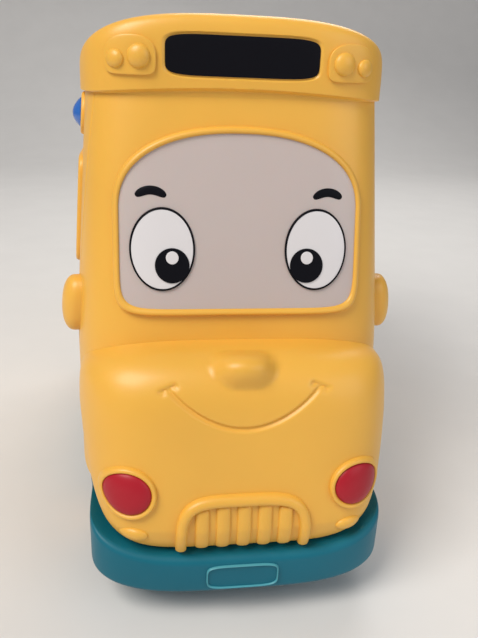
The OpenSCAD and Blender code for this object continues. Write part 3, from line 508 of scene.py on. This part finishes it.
# Plates with two domes beside the sign: places across, drops below the middle of the sign, and sizes
POD_X, POD_DROP, POD_HALF_W, POD_RISE, POD_FALL, POD_H = 37.3, 1.0, 8.4, 6.5, 5.8, 1.1
POD_UP_POWER, POD_DOWN_POWER = 2.4, 5.0
BIG_DOME = (POD_X - 2.8, POD_DROP, 3.8, 3.0)
SMALL_DOME = (POD_X + 5.0, POD_DROP + 1.0, 2.9, 2.8)
DOME_BACK, DOME_RIM = 0.8, 1.0
POD_RINGS, DOME_RINGS = 20, 14


def lip_line(x):
    return BODY_TOP + LIP_ARCH * np.maximum(0, 1 - (x / LIP_HALF_W) ** 2)


def eased(u):
    return 3 * u ** 2 - 2 * u ** 3


def roof():
    """Loaf-shaped roof with a let-in panel for the sign and a softened lower lip."""
    t = np.pi * eased(np.linspace(0, 1, ROOF_STEPS))
    arch = np.stack([ROOF_HALF_W * signed(np.cos(t), 2 / ROOF_ARCH_POWER),
                     ROOF_CROWN * np.maximum(0, signed(np.sin(t), 2 / ROOF_ARCH_POWER))], -1)
    shares = np.sin(np.linspace(ROOF_FIRST_TURN, np.pi / 2, ROOF_RINGS))
    rings = []
    for side in (-1, 1):
        for s in shares if side < 0 else shares[::-1]:
            x, z = s * arch[:, 0], BODY_TOP + s * arch[:, 1]
            y = ROOF_MID + side * roof_depth(x, z)
            if side < 0:
                y = y + SIGN_DEEP * np.clip((1 - sign_reach(x, z)) / SIGN_SLOPE_SHARE, 0, 1)
                y = y + LIP_OUT * np.clip((lip_line(x) - z) / LIP_SOFT, 0, 1)
            rings.append(np.stack([x, y, z], -1))
    rings = np.array(rings)
    faces = capped_faces(*rings.shape[:2])
    make_object("roof", rings.reshape(-1, 3), faces, YELLOW, "yellow_plastic", replaces=("roof_cap",),
                sharp=ROOF_SHARP)
    sign = Builder()
    sign.patch(roof_skin, (0, SIGN_Z), outline(*SIGN_SHAPE, SIGN_POWER, count=SIGN_STEPS), SIGN_BACK,
               rounded_plate(SIGN_RIM, SIGN_FACE), SIGN_RINGS)
    sign.finish("sign", BLACK, "black_plastic", replaces=("sign_insert",))
    lamps = Builder()
    for s in (-1, 1):
        shape = outline(POD_HALF_W, POD_RISE, POD_UP_POWER, POD_FALL, POD_DOWN_POWER)
        lamps.patch(roof_skin, (s * POD_X, SIGN_Z - POD_DROP), shape, -SUNK, rounded_plate(0, POD_H),
                    POD_RINGS)
        for x, drop, r, height in (BIG_DOME, SMALL_DOME):
            lamps.patch(roof_skin, (s * x, SIGN_Z - drop), circle(r), DOME_BACK, dome(DOME_RIM, height),
                        DOME_RINGS)
    lamps.finish("roof_lamp_plates", YELLOW, "yellow_plastic", replaces=("roof_lamps",))


# Windscreen and face

SCREEN_UP_POWER, SCREEN_DOWN_POWER = 2.3, 11.0
# The panel runs a little under the bead; it is nearly flat
PANEL_LAP, PANEL_RIM, PANEL_CROWN, PANEL_FLAT = 0.4, 0.7, 1.2, 20.0
SCREEN_STEPS, PANEL_RINGS = 200, 40


def screen_shape(inset):
    return outline(SCREEN_HALF_W - inset, SCREEN_RISE - inset, SCREEN_UP_POWER,
                   SCREEN_DROP - inset, SCREEN_DOWN_POWER, SCREEN_STEPS)


# Eyes: each layer has its back, its rim and its crown over the front skin
EYE_BACK, EYE_FLAT, EYE_WHITE_SHARE = 1.2, 8.0, 0.95
WHITE_RIM, WHITE_CROWN = 1.55, 1.8
EYE_RIM_W, EYE_RIM_H = 0.8, 1.95
PUPIL_IN, PUPIL_DROP, PUPIL_R = 3.4, 5.4, 6.0
PUPIL_BACK, PUPIL_RIM, PUPIL_CROWN = 1.6, 1.95, 2.15
GLINT_R, GLINT_DROP = 2.2, 2.6
GLINT_BACK, GLINT_RIM, GLINT_CROWN, GLINT_FLAT = 2.0, 2.25, 2.4, 6.0
BROW_OUT, BROW_LIFT, BROW_HALF_W, BROW_ARCH = 3.8, 17.5, 5.4, 2.2
BROW_W, BROW_BACK, BROW_H, BROW_TAPER = 3.0, 1.0, 1.6, 0.5
EYE_RINGS, EYE_RIM_STEPS, PUPIL_RINGS, GLINT_RINGS, BROW_STEPS = 20, 8, 14, 10, 40


def windscreen():
    """Panel with its bead, and the eyes and brows on it."""
    at = (0, SCREEN_Z)
    panel = Builder()
    panel.patch(front_skin, at, screen_shape(BEAD_W - PANEL_LAP), -SUNK,
                dome(PANEL_RIM, PANEL_CROWN, PANEL_FLAT), PANEL_RINGS)
    panel.finish("windscreen", SCREEN, "screen_plastic", replaces=("windscreen_panel",))
    bead = Builder()
    bead.bead(front_skin, at, screen_shape(0), BEAD_W, -SUNK, BEAD_H)
    bead.finish("windscreen_bead", YELLOW, "yellow_plastic", replaces=("windscreen_frame",))
    whites, rims, pupils, glints, brows = Builder(), Builder(), Builder(), Builder(), Builder()
    for s in (-1, 1):
        at = (s * EYE_X, EYE_Z)
        oval = ellipse(EYE_HALF_W, EYE_HALF_H)
        whites.patch(front_skin, at, oval * EYE_WHITE_SHARE, EYE_BACK,
                     dome(WHITE_RIM, WHITE_CROWN, EYE_FLAT), EYE_RINGS)
        rims.bead(front_skin, at, oval, EYE_RIM_W, EYE_BACK, EYE_RIM_H, EYE_RIM_STEPS)
        pupil_at = (s * (EYE_X - PUPIL_IN), EYE_Z - PUPIL_DROP)
        pupils.patch(front_skin, pupil_at, circle(PUPIL_R), PUPIL_BACK,
                     dome(PUPIL_RIM, PUPIL_CROWN, EYE_FLAT), PUPIL_RINGS)
        glint_at = (s * (EYE_X - PUPIL_IN), EYE_Z - GLINT_DROP)
        glints.patch(front_skin, glint_at, circle(GLINT_R), GLINT_BACK,
                     dome(GLINT_RIM, GLINT_CROWN, GLINT_FLAT), GLINT_RINGS)
        u = np.linspace(-1, 1, BROW_STEPS)
        path = np.stack([s * (EYE_X + BROW_OUT) + BROW_HALF_W * u,
                         EYE_Z + BROW_LIFT + BROW_ARCH * (1 - u * u)], -1)
        brows.rib(front_skin, path, BROW_W, BROW_BACK, BROW_H, taper=BROW_TAPER)
    whites.finish("eye_ovals", WHITE, "white_plastic", replaces=("eye_whites",))
    rims.finish("eye_rims", BLACK, "black_plastic")
    pupils.finish("pupils", BLACK, "black_plastic", replaces=("eye_pupils",))
    glints.finish("catch_lights", WHITE, "white_plastic", replaces=("eye_lights",))
    brows.finish("brows", BLACK, "black_plastic", replaces=("eyebrows",))


# Hood

SMILE_HALF_W, SMILE_TOP, SMILE_LOW = 26.0, 88.2, 74.7
SMILE_DEEP, SMILE_SPREAD = 1.1, 0.75
TICK_HALF = 2.6
# Direction of a tick, outwards and up
TICK_SHARES = (0.93, -0.37)
SMILE_STEPS, TICK_STEPS = 161, 15


def smile_groove(x, z):
    """Depth of the smile: one arc and a short tick across each end."""
    u = np.linspace(-1, 1, SMILE_STEPS)
    arc = np.stack([SMILE_HALF_W * u, SMILE_LOW + (SMILE_TOP - SMILE_LOW) * u * u], -1)
    v = np.linspace(-TICK_HALF, TICK_HALF, TICK_STEPS)[:, None]
    out, up = TICK_SHARES
    ticks = [np.array([[s * SMILE_HALF_W, SMILE_TOP]]) + v * np.array([[s * out, up]]) for s in (-1, 1)]
    points = np.concatenate([arc, *ticks])
    flat = np.stack([x.ravel(), z.ravel()], -1)
    gap = np.full(len(flat), np.inf)
    for p in points:
        gap = np.minimum(gap, np.hypot(flat[:, 0] - p[0], flat[:, 1] - p[1]))
    return (SMILE_DEEP * np.exp(-(gap / SMILE_SPREAD) ** 2)).reshape(x.shape)


HOOD_STEPS, HOOD_EDGE_RINGS, HOOD_RINGS = 360, 40, 110
# Share of a half turn that the close rings at the edge take, and share of the last ring
HOOD_EDGE_SHARE, HOOD_LAST_SHARE = 0.35, 0.004
HOOD_BACK_GAP = 0.1
HOOD_SHARP = 60


def hood():
    """Bulging hood with the nose and the groove of the smile."""
    shape = outline(HOOD_HALF_W, HOOD_RISE, HOOD_UP_POWER, HOOD_DROP, HOOD_DOWN_POWER, HOOD_STEPS)
    shape[:, 0] *= hood_side(HOOD_Z + shape[:, 1]) / HOOD_HALF_W
    edge = np.cos(np.linspace(0, HOOD_EDGE_SHARE * np.pi, HOOD_EDGE_RINGS))
    shares = np.concatenate([edge, np.linspace(edge[-1], HOOD_LAST_SHARE, HOOD_RINGS)[1:]])
    x = shares[:, None] * shape[None, :, 0]
    z = HOOD_Z + shares[:, None] * shape[None, :, 1]
    top = hood_skin(x, z, -smile_groove(x, z))
    base = front_y(x[0], np.maximum(z[0], CHASSIS_TOP)) - HOOD_BACK_GAP
    rim = stack(x[0], base, z[0])
    faces = capped_faces(len(shares) + 1, len(shape))
    points = np.concatenate([rim, top.reshape(-1, 3)])
    make_object("hood_moulding", points, faces, YELLOW, "yellow_plastic", replaces=("hood",),
                sharp=HOOD_SHARP)


GRILLE_FOOT = 2.0
GRILLE_Z = HOOD_Z - HOOD_DROP + GRILLE_FOOT
GRILLE_MID_W, GRILLE_MID_H, GRILLE_W, GRILLE_BARS = 22.0, 20.2, 4.0, 5
GRILLE_POWER = 4.4
GRILLE_H = 2.7
# Bars of the grille, with their gap to the arch and the place where it is measured
BAR_W, BAR_H, BAR_TAPER, BAR_GAP, BAR_CLEAR = 5.0, 1.5, 0.12, 1.5, 1.0
BEZEL_OUT, BEZEL_W, BEZEL_H = 1.8, 1.9, 1.9
LENS_RIM, LENS_H, LENS_ROUND = 0.6, 3.0, 2.4
SIGNAL_IN, SIGNAL_DROP, SIGNAL_HALF_W, SIGNAL_HALF_H = 2.0, 15.8, 5.0, 2.8
SIGNAL_RIM, SIGNAL_H = -0.1, 1.8
ARCH_STEPS, BAR_STEPS, LENS_RINGS = 90, 24, 24


def hood_details():
    """Grille, head lamps in their bezels, and the signal bumps."""
    grille = Builder()
    t = np.linspace(0, np.pi, ARCH_STEPS)
    arch = np.stack([-GRILLE_MID_W * signed(np.cos(t), 2 / GRILLE_POWER),
                     GRILLE_Z + GRILLE_MID_H * np.maximum(0, signed(np.sin(t), 2 / GRILLE_POWER))], -1)
    grille.rib(hood_skin, arch, GRILLE_W, -SUNK, GRILLE_H)
    pitch = 2 * GRILLE_MID_W / (GRILLE_BARS + 1)
    for k in range(1, GRILLE_BARS + 1):
        x = k * pitch - GRILLE_MID_W
        rise = GRILLE_MID_H * float(squared((abs(x) + BAR_CLEAR) / GRILLE_MID_W, GRILLE_POWER))
        up = np.linspace(GRILLE_Z, GRILLE_Z + rise - BAR_GAP, BAR_STEPS)
        grille.rib(hood_skin, np.stack([x + 0 * up, up], -1), BAR_W, -SUNK, BAR_H, taper=BAR_TAPER)
    grille.finish("grille_bars", YELLOW, "yellow_plastic", replaces=("grille",), sharp=HOOD_SHARP)
    bezels, bumps = Builder(), Builder()
    for s, name in ((-1, "left"), (1, "right")):
        at = (s * LAMP_X, LAMP_Z)
        around = ellipse(LAMP_HALF_W + BEZEL_OUT, LAMP_HALF_H + BEZEL_OUT)
        bezels.bead(hood_skin, at, around, BEZEL_W, -SUNK, BEZEL_H)
        signal_at = (s * (LAMP_X - SIGNAL_IN), LAMP_Z - SIGNAL_DROP)
        bumps.patch(hood_skin, signal_at, ellipse(SIGNAL_HALF_W, SIGNAL_HALF_H), -SUNK,
                    dome(SIGNAL_RIM, SIGNAL_H))
        lens = Builder()
        lens.patch(hood_skin, at, ellipse(LAMP_HALF_W, LAMP_HALF_H), -SUNK,
                   dome(LENS_RIM, LENS_H, LENS_ROUND), LENS_RINGS)
        lens.finish("head_lamp_" + name, RED, "red_plastic", replaces=("lamp_" + name,))
    bezels.finish("bezels", YELLOW, "yellow_plastic", replaces=("lamp_bezels",))
    bumps.finish("signals", YELLOW, "yellow_plastic", replaces=("signal_bumps",))


# Bumpers

CHASSIS_HALF_W, CHASSIS_MID, CHASSIS_HALF_L = 59.0, 9.0, 103.5
# Inner edge of each bumper, clear of the wheel wells
WHEEL_CLEAR = {-1: 79.5, 1: 90.5}
BUMPER_ROUND = 3.0
BUMPER_STEPS, CORNER_STEPS, BUMPER_SHARP = 90, 8, 50


def bumper(name, node, side, reach):
    """Bowed bar with rounded outer edges that rises towards its ends."""
    u = np.sin(np.linspace(-np.pi / 2, np.pi / 2, BUMPER_STEPS)) * EDGE
    turn = np.linspace(0, np.pi / 2, CORNER_STEPS)
    rings = []
    for x in u * BUMPER_HALF_W:
        bend = (abs(x) / BUMPER_HALF_W) ** BUMPER_CURVE_POWER
        low, high = GROUND_GAP + BUMPER_FOOT * bend, BUMPER_TOP + BUMPER_LIFT * bend
        out = float(bumper_out(x, reach, FRONT_END if side < 0 else REAR_END))
        inner = float(CHASSIS_HALF_L * squared(x / CHASSIS_HALF_W, PLAN_POWER)) + side * CHASSIS_MID + SEAT
        inner = max(inner, WHEEL_CLEAR[side])
        section = [(inner, low), (inner, high)]
        corner = [(out - BUMPER_ROUND * (1 - math.sin(a)), BUMPER_ROUND * (1 - math.cos(a))) for a in turn]
        section += [(y, high - dip) for y, dip in corner]
        section += [(y, low + dip) for y, dip in corner[::-1]]
        rings.append([(x, side * y, z) for y, z in section])
    rings = np.array(rings)
    faces = capped_faces(*rings.shape[:2])
    make_object(name, rings.reshape(-1, 3), faces, TEAL, "teal_plastic", replaces=(node,), sharp=BUMPER_SHARP)


# Number plate: bare face let into a thin raised edge
PLATE_HALF_W, PLATE_HALF_H, PLATE_POWER = 13.0, 5.0, 5
PLATE_LET_IN, PLATE_RIM, PLATE_FACE, PLATE_EDGE_W = 0.4, 0.05, 0.25, 0.6
PLATE_RINGS, PLATE_EDGE_STEPS = 14, 8


def bumpers():
    bumper("bumper_front", "front_bumper", -1, BUMPER_REACH - PLATE_PROUD)
    bumper("bumper_rear", "rear_bumper", 1, BUMPER_REACH)
    plate = Builder()
    at = (0, (GROUND_GAP + BUMPER_TOP) / 2)
    face = outline(PLATE_HALF_W - PLATE_LET_IN, PLATE_HALF_H - PLATE_LET_IN, PLATE_POWER)
    plate.patch(bumper_skin, at, face, -SUNK, rounded_plate(PLATE_RIM, PLATE_FACE), PLATE_RINGS)
    plate.finish("plate", TEAL, "teal_plastic", replaces=("number_plate",))
    edge = Builder()
    around = outline(PLATE_HALF_W, PLATE_HALF_H, PLATE_POWER)
    edge.bead(bumper_skin, at, around, PLATE_EDGE_W, -SUNK, PLATE_PROUD, PLATE_EDGE_STEPS)
    # The raised edge takes the lighter teal, which is a painted highlight along the rim
    edge.finish("plate_edge", TEAL_PAINTED_HIGHLIGHT, "teal_plastic")


# Sides and back

WINDOW_Z, WINDOW_HALF_W, WINDOW_HALF_H, WINDOW_POWER = 134.0, 19.0, 20.0, 7.0
WINDOW_YS = (-24.0, 21.0, 66.0)
REAR_WINDOW_HALF_W = 34.0
# A pane is a little smaller than its opening, and its frame a little larger
PANE_SHARE, SIDE_FRAME_SHARE, REAR_FRAME_SHARE = 0.97, 1.06, 1.05
PANE_RIM, PANE_CROWN, PANE_FLAT = 0.5, 0.9, 12.0
FRAME_W, FRAME_H = 2.0, 1.6
MIRROR_Z, MIRROR_HALF_W, MIRROR_HALF_H, MIRROR_POWER = 102.0, 7.0, 10.8, 2.6
MIRROR_RIM, MIRROR_H, MIRROR_ROUND = 1.5, 6.4, 2.4
TAIL_X, TAIL_Z, TAIL_R, TAIL_BASE, TAIL_H = 40.0, 66.0, 6.5, 0.6, 2.4
TAIL_RIM_R, TAIL_RIM_W, TAIL_RIM_H = 8.4, 2.1, 1.7
PANE_RINGS, MIRROR_RINGS, TAIL_RINGS = 16, 24, 16


def sides():
    """Side windows with their frames, and the mirror pods."""
    pane = dome(PANE_RIM, PANE_CROWN, PANE_FLAT)
    shape = outline(WINDOW_HALF_W, WINDOW_HALF_H, WINDOW_POWER)
    for name, skin, sign in (("left", left_skin, -1), ("right", right_skin, 1)):
        panes, frames = Builder(), Builder()
        for y in WINDOW_YS:
            at = (sign * y, WINDOW_Z)
            panes.patch(skin, at, shape * PANE_SHARE, -SUNK, pane, PANE_RINGS)
            frames.bead(skin, at, shape * SIDE_FRAME_SHARE, FRAME_W, -SUNK, FRAME_H)
        panes.finish("panes_" + name, PANE, "window_plastic", replaces=("windows_" + name,))
        frames.finish("pane_frames_" + name, YELLOW, "yellow_plastic")
        pod = Builder()
        pod.patch(skin, (-sign * SEAM_FRONT, MIRROR_Z), outline(MIRROR_HALF_W, MIRROR_HALF_H, MIRROR_POWER),
                  -SUNK, dome(MIRROR_RIM, MIRROR_H, MIRROR_ROUND), MIRROR_RINGS)
        pod.finish("pod_" + name, YELLOW, "yellow_plastic", replaces=("mirror_" + name,))


def back():
    """Rear window and tail lamps with their frames."""
    window = Builder()
    shape = outline(REAR_WINDOW_HALF_W, WINDOW_HALF_H, WINDOW_POWER)
    window.patch(back_skin, (0, WINDOW_Z), shape * PANE_SHARE, -SUNK, dome(PANE_RIM, PANE_CROWN, PANE_FLAT),
                 PANE_RINGS)
    window.finish("rear_pane", PANE, "window_plastic", replaces=("rear_window",))
    rims, tails = Builder(), Builder()
    rims.bead(back_skin, (0, WINDOW_Z), shape * REAR_FRAME_SHARE, FRAME_W, -SUNK, FRAME_H)
    for s in (-1, 1):
        at = (s * TAIL_X, TAIL_Z)
        tails.patch(back_skin, at, circle(TAIL_R), -SUNK, dome(TAIL_BASE, TAIL_H), TAIL_RINGS)
        rims.bead(back_skin, at, circle(TAIL_RIM_R), TAIL_RIM_W, -SUNK, TAIL_RIM_H)
    tails.finish("tail_lenses", RED, "red_plastic", replaces=("tail_lamps",))
    rims.finish("rear_frames", YELLOW, "yellow_plastic")


# Tyres

TYRE_R, TYRE_W, HUB_R, TRACK = 19.0, 13.0, 12.54, 49.5
AXLE_Y = {"front": -57.0, "rear": 68.0}
TREADS, TREAD_DEEP = 26, 0.8
# Shoulder, side wall and middle groove of a tyre
SHOULDER_R, SIDE_IN, SIDE_R, SIDE_STEP, HUB_GAP = 2.2, 0.3, 14.2, 0.4, 0.05
GROOVE_HALF, GROOVE_FOOT, GROOVE_DEEP = 0.9, 0.6, 0.6
# The cuts between the blocks lie outside this half width and above this radius; their sides have this slope
TREAD_FROM, TREAD_R = 2.0, 17.5
TREAD_SLOPE = 3
TYRE_STEPS, SHOULDER_STEPS, TYRE_SHARP = 312, 8, 35


def tyres():
    """Rubber tyres with a rounded shoulder, a middle groove and short shoulder blocks."""
    half = TYRE_W / 2
    turn = np.linspace(0, np.pi / 2, SHOULDER_STEPS)
    shoulder = [(half - SHOULDER_R * (1 - math.cos(a)), TYRE_R - SHOULDER_R * (1 - math.sin(a)))
                for a in turn]
    crown = [(GROOVE_HALF, TYRE_R), (GROOVE_FOOT, TYRE_R - GROOVE_DEEP)]
    wall = [(half - SIDE_IN, HUB_R + HUB_GAP), (half - SIDE_IN, SIDE_R), (half, SIDE_R + SIDE_STEP)]
    outer = [*wall, *shoulder, *crown]
    profile = np.array([*outer, *[(-a, r) for a, r in outer[::-1]]])
    t = np.linspace(0, 2 * np.pi, TYRE_STEPS, endpoint=False)
    cuts = np.clip(1 - TREAD_SLOPE * (1 - np.cos(TREADS * t)), 0, 1)
    deep = TREAD_DEEP * (np.abs(profile[:, 0]) > TREAD_FROM) * (profile[:, 1] > TREAD_R)
    r = profile[None, :, 1] - deep[None, :] * cuts[:, None]
    for end, y in AXLE_Y.items():
        for side, name in ((-1, "left"), (1, "right")):
            points = stack(side * (TRACK + profile[None, :, 0]) + 0 * r, y + r * np.cos(t)[:, None],
                           TYRE_R + r * np.sin(t)[:, None])
            make_object("tyre_%s_%s_tread" % (end, name), points.reshape(-1, 3), wrap_faces(*r.shape), TYRE,
                        "tyre_rubber", body=end + "_wheels", replaces=("tyre_%s_%s" % (end, name),),
                        sharp=TYRE_SHARP)


# Side button

BUTTON_R, BUTTON_A, BUTTON_Z, BUTTON_GAP = 5.7, 34.0, 170.0, 0.3
RING_W, RING_H = 1.8, 1.2
# Length of the cutter for the hole, and points round it
CUT_L, CUT_STEPS = 30.0, 96


def button_ring():
    """Ring of the side button, and the hole for the button through the wall."""
    ring = Builder()
    size = BUTTON_R + BUTTON_GAP + RING_W
    ring.bead(left_skin, (BUTTON_A, BUTTON_Z), circle(size), RING_W, -SUNK, RING_H)
    ring.finish("button_ring", YELLOW, "yellow_plastic")
    bpy.ops.mesh.primitive_cylinder_add(vertices=CUT_STEPS, radius=(BUTTON_R + BUTTON_GAP) * MM,
                                        depth=CUT_L * MM, rotation=(0, math.pi / 2, 0))
    cutter = bpy.context.object
    cutter.location = Vector((-float(side_x(-BUTTON_A, BUTTON_Z)), -BUTTON_A, BUTTON_Z)) * MM
    wall = bpy.data.objects["shell_rear"]
    cut = wall.modifiers.new("hole", "BOOLEAN")
    cut.object = cutter
    cut.solver = "EXACT"
    bpy.context.view_layer.objects.active = wall
    bpy.ops.object.modifier_apply(modifier=cut.name)
    bpy.data.objects.remove(cutter)


# Camera, stage and lights

# Photo height and focal length in pixels, and turns in degrees
IMAGE_H = 638
FOCAL_PX = 650.0
SENSOR_H = 36.0
CAMERA_AT = (-31.7, -298.9, 191.0)
CAMERA_YAW, CAMERA_PITCH, CAMERA_ROLL = 8.37, 21.7, 2.43


def camera():
    data = bpy.data.cameras.new("camera")
    data.sensor_fit = "VERTICAL"
    data.sensor_height = SENSOR_H
    data.lens = FOCAL_PX / IMAGE_H * SENSOR_H
    obj = bpy.data.objects.new("camera", data)
    bpy.context.scene.collection.objects.link(obj)
    turn = (Matrix.Rotation(math.radians(-CAMERA_YAW), 4, "Z")
            @ Matrix.Rotation(math.radians(90 - CAMERA_PITCH), 4, "X")
            @ Matrix.Rotation(math.radians(CAMERA_ROLL), 4, "Z"))
    obj.matrix_world = Matrix.Translation(Vector(CAMERA_AT) * MM) @ turn
    bpy.context.scene.camera = obj


# Stage and lights, in metres and watts
STAGE_HALF, BACKDROP_Y, STAGE_BEND, STAGE_STEPS = 12.0, 0.9, 0.6, 24
LIGHT_TARGET = (0, 0, 0.1)
LIGHTS = (
    ("key", (-0.6, -0.5, 1.0), 0.6, 12.0, (1.0, 0.95, 0.88)),
    ("fill", (0.8, -0.8, 0.6), 0.8, 3.0, (0.95, 0.97, 1.0)),
    ("back", (0.3, 0.7, 0.9), 0.7, 5.0, (1.0, 0.98, 0.95)),
)
WORLD_COLOUR, WORLD_STRENGTH = (0.86, 0.87, 0.9, 1), 0.3


def area_light(name, at, size, power, colour):
    data = bpy.data.lights.new(name, "AREA")
    data.size = size
    data.energy = power
    data.color = colour
    obj = bpy.data.objects.new(name, data)
    bpy.context.scene.collection.objects.link(obj)
    obj.location = at
    obj.rotation_euler = (Vector(LIGHT_TARGET) - Vector(at)).to_track_quat("-Z", "Y").to_euler()


def stage():
    """Floor that bends up into a backdrop, with three lights and a pale world."""
    turn = np.linspace(0, np.pi / 2, STAGE_STEPS)
    rise = [(BACKDROP_Y + STAGE_BEND * math.sin(a), STAGE_BEND * (1 - math.cos(a))) for a in turn]
    sweep = [(-STAGE_HALF, 0.0), *rise, (BACKDROP_Y + STAGE_BEND, STAGE_HALF)]
    mesh = bpy.data.meshes.new("floor")
    mesh.from_pydata([(x, y, z) for y, z in sweep for x in (-STAGE_HALF, STAGE_HALF)], [],
                     [(2 * i, 2 * i + 1, 2 * i + 3, 2 * i + 2) for i in range(len(sweep) - 1)])
    mesh.polygons.foreach_set("use_smooth", [True] * len(mesh.polygons))
    floor = bpy.data.objects.new("floor", mesh)
    bpy.context.scene.collection.objects.link(floor)
    mesh.materials.append(plastic("floor_paper", (0.72, 0.71, 0.7), 0.8, bump=0.02, grain=300.0,
                                  mottle=0.015))
    world = bpy.data.worlds.new("studio")
    bpy.context.scene.world = world
    world.use_nodes = True
    background = world.node_tree.nodes["Background"]
    background.inputs["Color"].default_value = WORLD_COLOUR
    background.inputs["Strength"].default_value = WORLD_STRENGTH
    for light in LIGHTS:
        area_light(*light)


dress_cad_nodes()
shell("shell_front", "front_shell", True)
shell("shell_rear", "rear_shell", False)
roof()
windscreen()
hood()
hood_details()
bumpers()
sides()
back()
tyres()
button_ring()
camera()
stage()
bpy.context.scene.view_settings.view_transform = "Standard"
